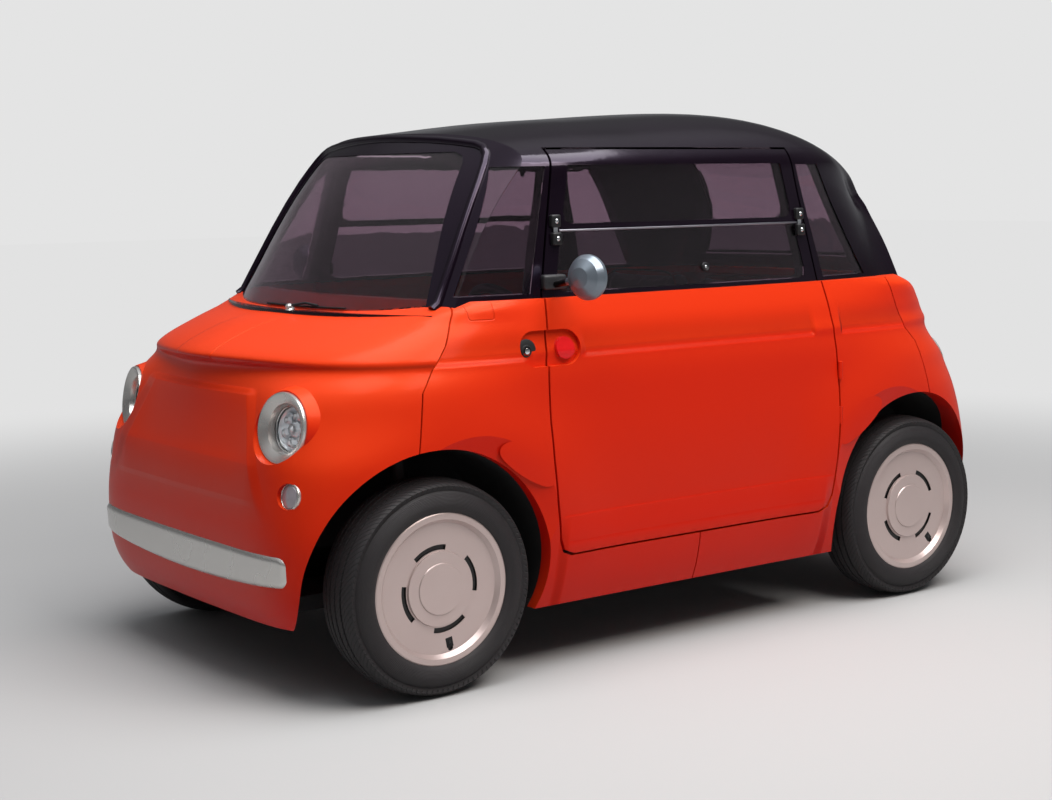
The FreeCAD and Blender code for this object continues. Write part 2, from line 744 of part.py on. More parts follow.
def running_gear():
    cross_half = 0.9 * liner_wall
    member = box(-cross_half, cross_half, -wheel_distance - 2 * arm_half, -wheel_distance + 2 * arm_half,
                 floor_low - 1.6 * arm_half, floor_low)
    gear = member
    upright_low = ball_radius + clearance
    upright_high = 1.62 * size("tyre_width")
    for side_name, side in sides.items():
        foot = Vector(side * kingpin_foot.x, kingpin_foot.y, kingpin_foot.z)
        axis = Vector(side * kingpin_axis.x, 0, kingpin_axis.z)
        arm = beam(Vector(side * cross_half, foot.y, foot.z), Vector(foot.x, foot.y, foot.z), arm_half, arm_half / 2)
        ball = Part.makeSphere(ball_radius, foot)
        top = foot + axis * ((arch_top - foot.z) / axis.z)
        strut_start = foot + axis * (0.6 * upright_high)
        strut = pin(strut_start, axis, strut_radius, (top - strut_start).Length)
        mount = pin(Vector(top.x, top.y, arch_top + clearance), Vector(0, 0, 1),
                    strut_radius * 2.4, liner * 3)
        gear = gear.fuse([arm, ball, strut, mount])
        upright = pin(foot + axis * upright_low, axis, strut_radius * 1.25, upright_high - upright_low)
        upright = upright.cut(pin(strut_start - axis * clearance, axis, strut_radius + clearance, upright_high))
        hub_start = foot + axis * ((wheel_height - foot.z) / axis.z)
        stub_end = wheel_side + size("cap_face") / 2
        stub = pin(hub_start, Vector(side, 0, 0), spindle, stub_end - abs(hub_start.x))
        carrier = pin(hub_start - Vector(side * strut_radius, 0, 0), Vector(side, 0, 0), 2 * spindle,
                      strut_radius + shaft_radius)
        carrier = carrier.cut(pin(strut_start - axis * clearance, axis, strut_radius + clearance, upright_high))
        steering_arm = beam(hub_start + Vector(0, 0, spindle), hub_start + Vector(0, 0.8 * size("tyre_width"), spindle),
                            shaft_radius, shaft_radius)
        steering_arm = steering_arm.cut(pin(strut_start - axis * clearance, axis, strut_radius + clearance, upright_high))
        keep(f"knuckle_{side_name}", upright.fuse([stub, carrier, steering_arm]))
    rack_y = -wheel_distance + 0.8 * size("tyre_width")
    rack = pin(Vector(-cross_half - arm_half, rack_y, wheel_height), Vector(1, 0, 0), shaft_radius * 1.3,
               2 * (cross_half + arm_half))
    post = box(-arm_half, arm_half, rack_y - arm_half, rack_y + arm_half, floor_top, wheel_height)
    front_gear = gear.Solids + [rack.fuse(post)]
    tube = pin(Vector(-0.78 * wheel_side, wheel_distance, wheel_height), Vector(1, 0, 0), spindle * 1.3,
               2 * 0.78 * wheel_side)
    axle = tube
    for side in sides.values():
        hub = Vector(side * 0.78 * wheel_side, wheel_distance, wheel_height)
        stub_end = wheel_side + size("cap_face") / 2
        axle = axle.fuse([
            pin(hub, Vector(side, 0, 0), 2 * spindle, 0.1 * wheel_side),
            pin(hub, Vector(side, 0, 0), spindle, stub_end - abs(hub.x)),
            beam(Vector(side * 0.66 * wheel_side, arch_distance - arch - liner - arm_half, wheel_height),
                 Vector(side * 0.66 * wheel_side, wheel_distance, wheel_height), arm_half, arm_half / 2),
            pin(Vector(side * 0.73 * wheel_side, wheel_distance, wheel_height), Vector(0, 0, 1), strut_radius,
                arch_top - wheel_height),
            pin(Vector(side * 0.73 * wheel_side, wheel_distance, arch_top + clearance), Vector(0, 0, 1),
                strut_radius * 2.4, liner * 3),
            box(side * 0.66 * wheel_side - arm_half, side * 0.66 * wheel_side + arm_half,
                arch_distance - arch - liner - 3 * arm_half, arch_distance - arch - liner,
                floor_top, wheel_height + arm_half / 2)])
    keep("rear_axle", axle)
    motor_half = 0.46 * liner_wall
    named(primitive("Part::Box", "motor_block", Vector(-motor_half, -wheel_distance - 0.8 * motor_half, floor_top),
                    Length="Sizes.liner_inner_wall * 0.92", Width="Sizes.liner_inner_wall * 0.6",
                    Height="Sizes.tyre_diameter * 0.42"))
    for side in sides.values():
        start = Vector(side * motor_half, -wheel_distance, wheel_height)
        shaft_end = strut_side(wheel_height) - strut_radius * 1.25 - 2 * size("door_gap")
        front_gear.append(pin(start, Vector(side, 0, 0), shaft_radius, shaft_end - motor_half))
    keep("front_suspension", Part.makeCompound(front_gear))


# Lamps: a cup with a lens sunk in its mouth
def lamps():
    radius, depth = size("headlamp_radius"), size("headlamp_depth")
    mouth, throat, lip = 0.73 * radius, 0.64 * radius, 0.06 * radius
    lens = throat - clearance
    cup = ((0, -depth), (radius, -depth), (radius, lip / 2), (radius - lip, lip), (0.80 * radius, -0.02 * depth),
           (mouth, -0.26 * depth), (throat, -0.36 * depth), (throat, -0.85 * depth), (0, -0.85 * depth))
    glass = ((0, -0.55 * depth), (lens, -0.55 * depth), (lens, -0.36 * depth), (0.6 * lens, -0.24 * depth),
             (0, -0.19 * depth))
    small = size("marker_radius")
    bulb = ((0, -small), (small, -small), (small, 0.05 * small), (0.85 * small, 0.22 * small), (0, 0.34 * small))
    sites = headlamp_sites[-1] + headlamp_sites[1]
    keep("lamp_bezels", Part.makeCompound([turned(cup, *site) for site in sites]))
    keep("headlamp_lenses", Part.makeCompound([turned(glass, *site) for site in headlamp_sites[-1]]))
    keep("tail_lamp_lenses", Part.makeCompound([turned(glass, *site) for site in headlamp_sites[1]]))
    sites = marker_sites[-1] + marker_sites[1]
    keep("indicators", Part.makeCompound([turned(bulb, *site) for site in sites]))


bumper_sag_share = 0.30


def bumpers():
    thick, half, depth = size("bumper_thickness"), size("bumper_half_width"), size("bumper_depth")
    corner = size("bumper_corner")
    low, high = size("bumper_height") - depth / 2, size("bumper_height") + depth / 2
    front_y = -half_length - 2 * thick
    bend = corner * (1 - math.sqrt(0.5))

    def at(x, z):
        return Vector(x, front_y, z)

    edges = [
        Part.LineSegment(at(corner - half, high), at(half - corner, high)),
        Part.Arc(at(half - corner, high), at(half - bend, high - bend), at(half, high - corner)),
        Part.LineSegment(at(half, high - corner), at(half, low + corner)),
        Part.Arc(at(half, low + corner), at(half - bend, low + bend), at(half - corner, low)),
        Part.Arc(at(half - corner, low), at(0, low - bumper_sag_share * depth), at(corner - half, low)),
        Part.Arc(at(corner - half, low), at(bend - half, low + bend), at(-half, low + corner)),
        Part.LineSegment(at(-half, low + corner), at(-half, high - corner)),
        Part.Arc(at(-half, high - corner), at(bend - half, high - bend), at(corner - half, high))]
    bar = Part.Face(Part.Wire([edge.toShape() for edge in edges])).extrude(Vector(0, half_length / 2, 0))
    bar = bar.common(body_block(-thick, 0)).cut(outer_block)
    keep("bumpers", Part.makeCompound([bar, turn_round(bar)]))


# Wheels: profile corners as shares of driving dimensions, (radius, distance from the wheel's middle outwards)
def measure(**shares):
    """A length made of shares of driving dimensions: its value and its expression."""
    value = sum(share * size(alias) for alias, share in shares.items())
    expression = " + ".join(f"Sizes.{alias} * ({share})" for alias, share in shares.items()) or "0 mm"
    return value, expression


def turned_body(name, outline):
    """A body turned from a sketch whose every corner is held by the sheet."""
    body = doc.addObject("PartDesign::Body", name)
    sketch = body.newObject("Sketcher::SketchObject", f"{name}_profile")
    plane = next(part for part in body.Origin.OriginFeatures if part.Role == "XZ_Plane")
    sketch.AttachmentSupport = [(plane, "")]
    sketch.MapMode = "FlatFace"
    corners = [Vector(radius[0], along[0], 0) for radius, along in outline]
    count = len(corners)
    for index in range(count):
        sketch.addGeometry(Part.LineSegment(corners[index], corners[(index + 1) % count]))
    for index in range(count):
        sketch.addConstraint(Sketcher.Constraint("Coincident", index, 2, (index + 1) % count, 1))
    for index, (radius, along) in enumerate(outline):
        for kind, (value, expression) in (("DistanceX", radius), ("DistanceY", along)):
            number = sketch.addConstraint(Sketcher.Constraint(kind, -1, 1, index, 1, value))
            sketch.setExpression(f"Constraints[{number}]", expression)
    turning = body.newObject("PartDesign::Revolution", f"{name}_turning")
    turning.Profile = sketch
    turning.ReferenceAxis = (sketch, ["V_Axis"])
    turning.Angle = 360
    doc.recompute()
    return body


def wheel_outline():
    zero = measure()
    bore = measure(spindle_diameter=0.5, running_clearance=1)
    bore_end = measure(cap_face=0.53)
    hub = measure(spindle_diameter=0.9)
    hub_back = measure(cap_face=-0.35)
    barrel_in = measure(rim_diameter=0.5, rim_lip=-0.3)
    barrel = measure(rim_diameter=0.5)
    flange = measure(rim_diameter=0.5, rim_lip=1)
    bead, flange_face = measure(rim_width=0.5), measure(rim_width=0.5, rim_lip=0.3)
    bead_back, flange_back = measure(rim_width=-0.5), measure(rim_width=-0.5, rim_lip=-0.3)
    plate_back, plate = measure(cap_face=0.72), measure(cap_face=0.86)
    step, face = measure(cap_face=0.95), measure(cap_face=1)
    ring_top = measure(cap_face=1, rim_lip=0.17)
    disc, disc_edge = measure(rim_diameter=0.273), measure(rim_diameter=0.267)
    centre, centre_edge = measure(rim_diameter=0.187), measure(rim_diameter=0.181)
    ring_out = measure(rim_diameter=0.5, rim_lip=0.7)
    ring_in, ring_foot = measure(rim_diameter=0.5), measure(rim_diameter=0.5, rim_lip=-0.5)
    return ((zero, bore_end), (bore, bore_end), (bore, hub_back), (hub, hub_back), (hub, plate_back),
            (barrel_in, plate_back), (barrel_in, flange_back), (flange, flange_back), (flange, bead_back),
            (barrel, bead_back), (barrel, bead), (flange, bead), (flange, flange_face), (ring_out, ring_top),
            (ring_in, ring_top), (ring_foot, plate), (disc, plate), (disc_edge, step), (centre, step),
            (centre_edge, face), (zero, face))


def slot_ring():
    """Four curved slots round the middle of the wheel's face."""
    slots = []
    for index in range(4):
        turn = Rotation(Vector(0, 0, 1), 90 * index - 26)
        place = Vector(0, 0, 0.78 * size("cap_face"))
        outer = primitive("Part::Cylinder", f"slot_outside_{index}", place, turn,
                          Radius="Sizes.rim_diameter * 0.318", Height="Sizes.cap_face")
        inner = primitive("Part::Cylinder", f"slot_inside_{index}", place, turn,
                          Radius="Sizes.rim_diameter * 0.280", Height="Sizes.cap_face")
        outer.Angle = 52
        slot = doc.addObject("Part::Cut", f"slot_{index}")
        slot.Base, slot.Tool = outer, inner
        slots.append(slot)
    notch = primitive("Part::Cylinder", "valve_notch",
                      Vector(0.445 * size("rim_diameter") * math.cos(math.radians(265)),
                             0.445 * size("rim_diameter") * math.sin(math.radians(265)), 0.78 * size("cap_face")),
                      Radius="Sizes.rim_diameter * 0.022", Height="Sizes.cap_face")
    ring = doc.addObject("Part::Compound", "wheel_slots")
    ring.Links = slots + [notch]
    return ring


def tyre_solid():
    """A tyre turned about the axis: straight over the rim, round over the sidewalls and the tread."""
    seat, bead_top = size("rim_diameter") / 2 + clearance, size("rim_diameter") / 2 + size("rim_lip") + clearance
    bead, lip = size("rim_width") / 2 - clearance, size("rim_width") / 2 + 0.3 * size("rim_lip")
    half, tread = size("tyre_width") / 2, size("tyre_diameter") / 2
    wall = (bead_top + tread) / 2 - 0.04 * tread
    shoulder, crown = 0.80 * half, 0.972 * tread

    def at(radius, along):
        return Vector(radius, 0, along)

    edges = [
        Part.LineSegment(at(seat, -bead), at(seat, bead)),
        Part.LineSegment(at(seat, bead), at(bead_top, bead)),
        Part.LineSegment(at(bead_top, bead), at(bead_top, lip)),
        Part.Arc(at(bead_top, lip), at(wall, half), at(crown, shoulder)),
        Part.Arc(at(crown, shoulder), at(tread, 0), at(crown, -shoulder)),
        Part.Arc(at(crown, -shoulder), at(wall, -half), at(bead_top, -lip)),
        Part.LineSegment(at(bead_top, -lip), at(bead_top, -bead)),
        Part.LineSegment(at(bead_top, -bead), at(seat, -bead))]
    face = Part.Face(Part.Wire([edge.toShape() for edge in edges]))
    return face.revolve(Vector(0, 0, 0), Vector(0, 0, 1), 360)


def wheels():
    cover = doc.addObject("Part::Cut", "wheel_form")
    cover.Base, cover.Tool = turned_body("wheel_blank", wheel_outline()), slot_ring()
    doc.recompute()
    tyre = tyre_solid()
    facing = {1: Rotation(Vector(1, 1, 1), 120), -1: Rotation(Vector(0, 0, 1), 180) * Rotation(Vector(1, 1, 1), 120)}
    for end_name, end in ends.items():
        turn = 15 if end < 0 else 45
        for side_name, side in sides.items():
            place = Placement(Vector(side * wheel_side, end * wheel_distance, wheel_height),
                              facing[side] * Rotation(Vector(0, 0, 1), turn))
            for name, shape in (("wheel", cover.Shape), ("tyre", tyre)):
                feature = keep(f"{name}_{end_name}_{side_name}", shape)
                feature.Placement = place


# Seats: a pedestal, a shell and two pads; the passenger's stands further back
cushion_front = -0.20 * size("seat_length")
pedestal_gap = size("door_gap")


def seats():
    wide = size("seat_width")
    frames = []
    for side_name, side in sides.items():
        shift = 0 if side > 0 else 0.18 * size("seat_length")
        x = side * size("seat_side") - wide / 2
        y = cushion_front + shift
        z = size("cushion_height")
        pad = primitive("Part::Box", f"cushion_{side_name}", Vector(x, y, z),
                        Length="Sizes.seat_width", Width="Sizes.seat_length", Height="Sizes.cushion_thickness")
        lean = Rotation(Vector(1, 0, 0), -12)
        back_foot = Vector(x, y + size("seat_length") + pedestal_gap, z + size("cushion_thickness") / 2)
        back = primitive("Part::Box", f"backrest_{side_name}", back_foot, lean,
                         Length="Sizes.seat_width", Width="Sizes.backrest_thickness", Height="Sizes.backrest_height")
        joined("Part::Compound", f"seat_pads_{side_name}", [pad, back])
        stand = primitive("Part::Box", f"pedestal_{side_name}",
                          Vector(side * size("seat_side") - 0.35 * wide, y + 0.12 * size("seat_length"), floor_top),
                          Length="Sizes.seat_width * 0.7", Width="Sizes.seat_length * 0.62",
                          Height="Sizes.cushion_height - Sizes.floor_height - Sizes.floor_thickness - Sizes.liner_thickness * 4")
        tray = primitive("Part::Box", f"tray_{side_name}", Vector(x, y, z - 4 * liner),
                         Length="Sizes.seat_width", Width="Sizes.seat_length + Sizes.door_gap * 4",
                         Height="Sizes.liner_thickness * 4")
        frame_foot = back_foot + lean.multVec(Vector(0, size("backrest_thickness"), -5 * liner))
        upright = primitive("Part::Box", f"seat_upright_{side_name}", frame_foot, lean,
                            Length="Sizes.seat_width", Width="Sizes.liner_thickness * 3",
                            Height="Sizes.backrest_height * 0.93")
        bracket = primitive("Part::Box", f"seat_bracket_{side_name}",
                            Vector(x, y + size("seat_length"), z - 4 * liner),
                            Length="Sizes.seat_width", Width="Sizes.backrest_thickness + Sizes.liner_thickness * 2",
                            Height="Sizes.cushion_thickness * 0.47")
        frame = doc.addObject("Part::MultiFuse", f"seat_frame_{side_name}")
        frame.Shapes = [stand, tray, upright, bracket]
        frames.append(frame)
    joined("Part::Compound", "seat_frames", frames)


# Dashboard, steering column and steering wheel on the driver's side
column_axis = Vector(0, -math.cos(math.radians(27)), -math.sin(math.radians(27)))
wheel_hub = Vector(0.96 * size("seat_side"), -0.80 * size("seat_length"), 0.86 * belt)


def cockpit():
    face_y = -bulkhead + 0.34 * size("seat_length")
    back_y = -bulkhead
    outline = [(back_y, 0.70 * belt), (face_y - 0.05 * size("seat_length"), 0.68 * belt), (face_y, 0.74 * belt),
               (face_y, 0.83 * belt), (face_y - 0.10 * size("seat_length"), 0.885 * belt), (back_y, 0.905 * belt)]
    dash = side_prism(outline, -0.82 * half_width, 0.82 * half_width)
    column_start = wheel_hub + column_axis * (0.12 * size("steering_wheel_diameter") + clearance)
    column = pin(column_start, column_axis, 0.9 * spindle, 0.7 * size("steering_wheel_diameter"))
    keep("dashboard", dash.fuse(column))
    turn = Rotation(Vector(0, 0, 1), column_axis)
    rim = primitive("Part::Torus", "steering_rim", wheel_hub, turn,
                    Radius1="Sizes.steering_wheel_diameter / 2 - Sizes.steering_rim_diameter / 2",
                    Radius2="Sizes.steering_rim_diameter / 2")
    boss = primitive("Part::Cylinder", "steering_boss", wheel_hub - column_axis * (0.04 * size("steering_wheel_diameter")),
                     turn, Radius="Sizes.steering_wheel_diameter * 0.14", Height="Sizes.steering_wheel_diameter * 0.16")
    spoke_place = wheel_hub + turn.multVec(
        Vector(-0.47 * size("steering_wheel_diameter"), -0.4 * size("steering_rim_diameter"),
               -0.2 * size("steering_rim_diameter")))
    spokes = primitive("Part::Box", "steering_spokes", spoke_place, turn,
                       Length="Sizes.steering_wheel_diameter * 0.94", Width="Sizes.steering_rim_diameter * 0.8",
                       Height="Sizes.steering_rim_diameter * 0.5")
    joined("Part::MultiFuse", "steering_wheel", [rim, boss, spokes])
    battery = primitive("Part::Box", "battery_block",
                        Vector(-1.05 * size("seat_side"), bulkhead - 0.54 * size("seat_length"), floor_top),
                        Length="Sizes.seat_side * 2.1", Width="Sizes.seat_length * 0.53",
                        Height="Sizes.cushion_height * 0.38")
    named(battery)


# Door mirrors, latch buttons and hinges
def fittings():
    mirror = size("mirror_diameter") / 2
    head = Vector(1.075 * half_width, -0.85 * size("door_half_length"), 1.056 * belt)
    facing = Vector(-math.sin(math.radians(15)), math.cos(math.radians(15)), 0)
    bowl = ((0, -0.62 * mirror), (0.45 * mirror, -0.55 * mirror), (0.82 * mirror, -0.30 * mirror), (mirror, 0),
            (mirror, 0.16 * mirror), (0.92 * mirror, 0.16 * mirror), (0.92 * mirror, 0), (0, 0))
    arm_start = Vector(0.86 * half_width, head.y - 0.15 * mirror, head.z - 0.45 * mirror)
    along = head - facing * (0.3 * mirror) - arm_start
    arm = pin(arm_start, along, 0.16 * mirror, along.Length)
    shell_head = turned(bowl, head, facing)
    case = shell_head.fuse(arm).cut(cabin_outer)
    button_centre = Vector(0.90 * half_width, -0.875 * size("door_half_length"), latch_height - 0.002 * belt)
    button = pin(button_centre, Vector(1, 0, 0), 0.62 * latch_radius, half_width).common(
        body_block(0.15 * latch_depth, 0)).cut(body_block(latch_depth, 0))
    barrels = [pin(Vector(hinge_side, hinge_distance, height), Vector(0, 0, 1), hinge_radius, hinge_length)
               for height in hinge_heights]
    keep("mirror_left", case)
    keep("mirror_right", mirror_side(case))
    keep("latch_button_left", button)
    keep("latch_button_right", turn_round(button))
    keep("door_hinges", Part.makeCompound(barrels + [turn_round(barrel) for barrel in barrels]))


structure()
running_gear()
lamps()
bumpers()
wheels()
seats()
cockpit()
fittings()
doc.recompute()

for item in doc.Objects:
    if "Invalid" in item.State or "Error" in item.State:
        raise RuntimeError(f"{item.Name}: {item.State}")
os.makedirs("parts", exist_ok=True)
for name, node in nodes.items():
    if node.Shape.isNull() or not node.Shape.isValid():
        raise RuntimeError(f"{name}: no valid shape")
    node.Shape.exportStep(f"parts/{name}.step")
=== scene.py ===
# Small electric two-seater car with a black greenhouse. -Y is its front, +X its left, metres.
import math
import bpy
from mathutils import Matrix, Vector


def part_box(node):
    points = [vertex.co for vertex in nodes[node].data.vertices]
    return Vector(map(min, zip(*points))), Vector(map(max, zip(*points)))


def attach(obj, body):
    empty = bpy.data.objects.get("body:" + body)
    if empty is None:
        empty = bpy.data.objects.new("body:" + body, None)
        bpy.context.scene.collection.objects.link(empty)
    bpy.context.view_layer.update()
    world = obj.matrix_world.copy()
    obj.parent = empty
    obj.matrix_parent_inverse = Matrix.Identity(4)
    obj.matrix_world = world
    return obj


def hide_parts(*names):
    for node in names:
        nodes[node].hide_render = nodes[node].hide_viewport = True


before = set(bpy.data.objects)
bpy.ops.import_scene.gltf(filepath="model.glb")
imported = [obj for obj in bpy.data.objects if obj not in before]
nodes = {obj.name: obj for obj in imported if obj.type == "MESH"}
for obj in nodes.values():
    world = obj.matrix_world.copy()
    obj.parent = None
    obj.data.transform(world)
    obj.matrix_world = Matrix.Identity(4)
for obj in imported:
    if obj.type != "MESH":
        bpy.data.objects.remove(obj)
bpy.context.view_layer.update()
print("frame loaded,", len(nodes), "nodes")


# Small helpers
def linear(hexCode):
    channels = [int(hexCode[i:i + 2], 16) / 255 for i in (1, 3, 5)]
    return tuple(c / 12.92 if c <= 0.04045 else ((c + 0.055) / 1.055) ** 2.4 for c in channels) + (1.0,)


def addNode(tree, kind, settings=None, inputs=None):
    node = tree.nodes.new(kind)
    for name, value in (settings or {}).items():
        setattr(node, name, value)
    for name, value in (inputs or {}).items():
        if isinstance(value, bpy.types.NodeSocket):
            tree.links.new(value, node.inputs[name])
        else:
            node.inputs[name].default_value = value
    return node


def shapeRamp(ramp, interpolation, stops):
    # Grey levels along a colour ramp, from its first stop to its last
    ramp.interpolation = interpolation
    first, last = stops[0][0], stops[-1][0]
    while len(ramp.elements) < len(stops):
        ramp.elements.new(0.5)
    for element, (at, level) in zip(ramp.elements, stops):
        element.position = (at - first) / (last - first)
    for element, (at, level) in zip(ramp.elements, stops):
        element.color = (level, level, level, 1.0)


wordsForKinds = {
    "ramp": ("ValToRGB", {}), "smooth": ("MapRange", {"interpolation_type": "SMOOTHSTEP"}),
    "blend": ("Mix", {"data_type": "RGBA"}), "offset": ("VectorMath", {"operation": "SUBTRACT"}),
    "length": ("VectorMath", {"operation": "LENGTH"}),
    **{"wave" + way: ("TexWave", {"bands_direction": way}) for way in "XYZ"}}


def wireUp(tree, known, rows):
    # Each row is a node's name, its kind or an operation of Math, and its inputs; text is an earlier row's output
    for name, word, *inputs in rows:
        kind, settings = wordsForKinds.get(word) or (("Math", {"operation": word}) if word.isupper() else (word, {}))
        sources = inputs[:1] if word == "ramp" else inputs
        pairs = sources[0].items() if sources and isinstance(sources[0], dict) else enumerate(sources)
        values = {slot: known[value] if isinstance(value, str) else value for slot, value in pairs}
        node = addNode(tree, "ShaderNode" + kind, settings, values)
        if word == "ramp":
            shapeRamp(node.color_ramp, *inputs[1:])
        outputs = [output for output in node.outputs if output.enabled]
        known[name] = outputs[0]
        known.update({f"{name}.{output.name}": output for output in outputs})
    return known


def makeMaterial(name, values, rows):
    # A principled surface: the rows named colour, rough and normal feed it
    material = bpy.data.materials.new(name)
    material.use_nodes = True
    tree = material.node_tree
    tree.nodes.clear()
    shader = addNode(tree, "ShaderNodeBsdfPrincipled", inputs=values)
    addNode(tree, "ShaderNodeOutputMaterial", inputs={"Surface": shader.outputs[0]})
    known = wireUp(tree, {}, [("space", "TexCoord"), ("place", "SeparateXYZ", "space.Object"), *rows])
    for row, slot in (("colour", "Base Color"), ("rough", "Roughness"), ("normal", "Normal")):
        if row in known:
            tree.links.new(known[row], shader.inputs[slot])
    return material


def deselectAll():
    if bpy.context.mode != "OBJECT":
        bpy.ops.object.mode_set(mode="OBJECT")
    bpy.ops.object.select_all(action="DESELECT")


def pickOut(piece):
    deselectAll()
    piece.select_set(True)
    bpy.context.view_layer.objects.active = piece


def selectFaces(piece, test):
    # Leaves the piece in edit mode with only the faces that pass the test selected
    pickOut(piece)
    bpy.ops.object.mode_set(mode="EDIT")
    bpy.ops.mesh.select_mode(type="FACE")
    bpy.ops.mesh.select_all(action="DESELECT")
    bpy.ops.object.mode_set(mode="OBJECT")
    for face in piece.data.polygons:
        face.select = bool(test(piece.matrix_world @ face.center, face.normal))
    bpy.ops.object.mode_set(mode="EDIT")


def sinkRear(piece, least, border, depth):
    # Presses in the face that looks to the rear, inside a border
    selectFaces(piece, lambda centre, normal: normal.y > least)
    bpy.ops.mesh.inset(thickness=border, depth=0.0)
    bpy.ops.mesh.extrude_region_move(TRANSFORM_OT_translate={"value": (0, -depth, 0)})
    bpy.ops.object.mode_set(mode="OBJECT")


def setOutward(piece):
    pickOut(piece)
    bpy.ops.object.mode_set(mode="EDIT")
    bpy.ops.mesh.select_all(action="SELECT")
    bpy.ops.mesh.normals_make_consistent(inside=False)
    bpy.ops.object.mode_set(mode="OBJECT")


def finishPiece(piece, name, finish, body, angle=35):
    pickOut(piece)
    for modifier in [m.name for m in piece.modifiers]:
        bpy.ops.object.modifier_apply(modifier=modifier)
    bpy.ops.object.transform_apply(location=True, rotation=True, scale=True)
    bpy.ops.object.shade_smooth_by_angle(angle=math.radians(angle))
    piece.name = name
    piece.data.name = name
    piece.data.materials.clear()
    piece.data.materials.append(finishes[finish])
    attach(piece, body)
    return piece


def copyPiece(piece, name, body, how):
    # "mirror" makes the other side's piece, "turn" the one half a turn round the car
    pickOut(piece)
    bpy.ops.object.duplicate()
    twin = bpy.context.object
    if how == "mirror":
        bpy.ops.transform.resize(value=(-1, 1, 1), center_override=(0, 0, 0))
    else:
        bpy.ops.transform.rotate(value=math.pi, orient_axis="Z", center_override=(0, 0, 0))
    bpy.ops.object.transform_apply(location=True, rotation=True, scale=True)
    if how == "mirror":
        setOutward(twin)
    twin.name = name
    twin.data.name = name
    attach(twin, body)
    return twin


def hit(nodeName, start, direction):
    # Point and normal of a CAD node's surface where a ray meets it, or None
    found, point, normal, face = nodes[nodeName].ray_cast(Vector(start), Vector(direction))
    return (Vector(point), Vector(normal)) if found else None


def traceLine(points, closed=False):
    # A line of edges drawn by pulling one vertex from point to point
    deselectAll()
    bpy.ops.mesh.primitive_plane_add(size=0.002, location=points[0])
    bpy.ops.object.transform_apply(location=True, rotation=True, scale=True)
    piece = bpy.context.object
    bpy.ops.object.mode_set(mode="EDIT")
    bpy.ops.mesh.select_mode(type="VERT")
    bpy.ops.mesh.select_all(action="SELECT")
    bpy.ops.mesh.merge(type="CENTER")
    for before, after in zip(points, points[1:]):
        bpy.ops.mesh.extrude_region_move(TRANSFORM_OT_translate={"value": Vector(after) - Vector(before)})
    if closed:
        bpy.ops.mesh.select_all(action="DESELECT")
        bpy.ops.object.mode_set(mode="OBJECT")
        piece.data.vertices[0].select = True
        piece.data.vertices[len(piece.data.vertices) - 1].select = True
        bpy.ops.object.mode_set(mode="EDIT")
        bpy.ops.mesh.edge_face_add()
    bpy.ops.object.mode_set(mode="OBJECT")
    return piece


def traceTube(points, radius, closed=False, sides=3):
    piece = traceLine(points, closed)
    pickOut(piece)
    bpy.ops.object.convert(target="CURVE")
    curve = bpy.context.object
    curve.data.bevel_depth = radius
    curve.data.bevel_resolution = sides
    curve.data.use_fill_caps = True
    bpy.ops.object.convert(target="MESH")
    return bpy.context.object


def roundBlock(size, place, edge, turn=(0, 0, 0), segments=3):
    # A block with rounded edges, its size and place in metres
    deselectAll()
    bpy.ops.mesh.primitive_cube_add(size=1, location=place, rotation=turn)
    piece = bpy.context.object
    piece.dimensions = size
    bpy.ops.object.transform_apply(location=False, rotation=False, scale=True)
    bpy.ops.object.mode_set(mode="EDIT")
    bpy.ops.mesh.select_all(action="SELECT")
    bpy.ops.mesh.bevel(offset=edge, segments=segments, profile=0.5)
    bpy.ops.object.mode_set(mode="OBJECT")
    return piece


def spunForm(outline, place, axis, steps=48):
    # A turned form: outline points are (radius, distance along the axis)
    deselectAll()
    piece = traceLine([(radius, 0, along) for radius, along in outline])
    pickOut(piece)
    bpy.ops.object.mode_set(mode="EDIT")
    bpy.ops.mesh.select_all(action="SELECT")
    bpy.ops.mesh.spin(steps=steps, angle=math.tau, center=(0, 0, 0), axis=(0, 0, 1))
    bpy.ops.mesh.select_all(action="SELECT")
    bpy.ops.mesh.remove_doubles(threshold=0.00005)
    bpy.ops.mesh.normals_make_consistent(inside=False)
    bpy.ops.object.mode_set(mode="OBJECT")
    turn = Vector((0, 0, 1)).rotation_difference(Vector(axis).normalized())
    piece.matrix_world = Matrix.Translation(Vector(place)) @ turn.to_matrix().to_4x4()
    return piece


# Body paint, with the shallow forms that are pressed into each panel
paint = {
    # the shade and sun reds are painted shade and painted light, mixed by which way a panel faces
    "shade": "#C6140A", "sun": "#DE3C14", "facing": (-0.35, 0.75),
    "surface": {"Roughness": 0.36, "IOR": 1.48, "Specular IOR Level": 0.30, "Specular Tint": (1.0, 0.40, 0.18, 1.0),
                "Coat Weight": 0.06, "Coat Roughness": 0.16},
    "peel": 2.2, "peelDepth": 0.00004,
}


def paintCoat(name, relief=()):
    # Satin two-coat paint on moulded plastic panels: saturated coral red with painted light on upward faces, soft wide
    # highlights, faint orange peel
    return makeMaterial(name, paint["surface"], [
        # painted light and shade: panels that face up get a lighter, warmer red and panels that face down a darker red,
        # as if lit from above
        ("facing", "SeparateXYZ", "space.Normal"),
        ("lift", "smooth", "facing.Z", *paint["facing"]),
        ("colour", "blend", {"Factor": "lift", "A": linear(paint["shade"]), "B": linear(paint["sun"])}),
        ("peel", "TexNoise", {"Vector": "space.Object", "Scale": 1000 / paint["peel"], "Detail": 1.0}),
        ("normal", "Bump", {"Height": "peel.Fac", "Strength": 0.6, "Distance": paint["peelDepth"]}),
        *relief])


def profileRows(name, stops):
    # A height that follows (z, height) stops up the car
    return [(name + "Share", "MapRange", "place.Z", stops[0][0], stops[-1][0]),
            (name, "ramp", name + "Share", "B_SPLINE", stops)]


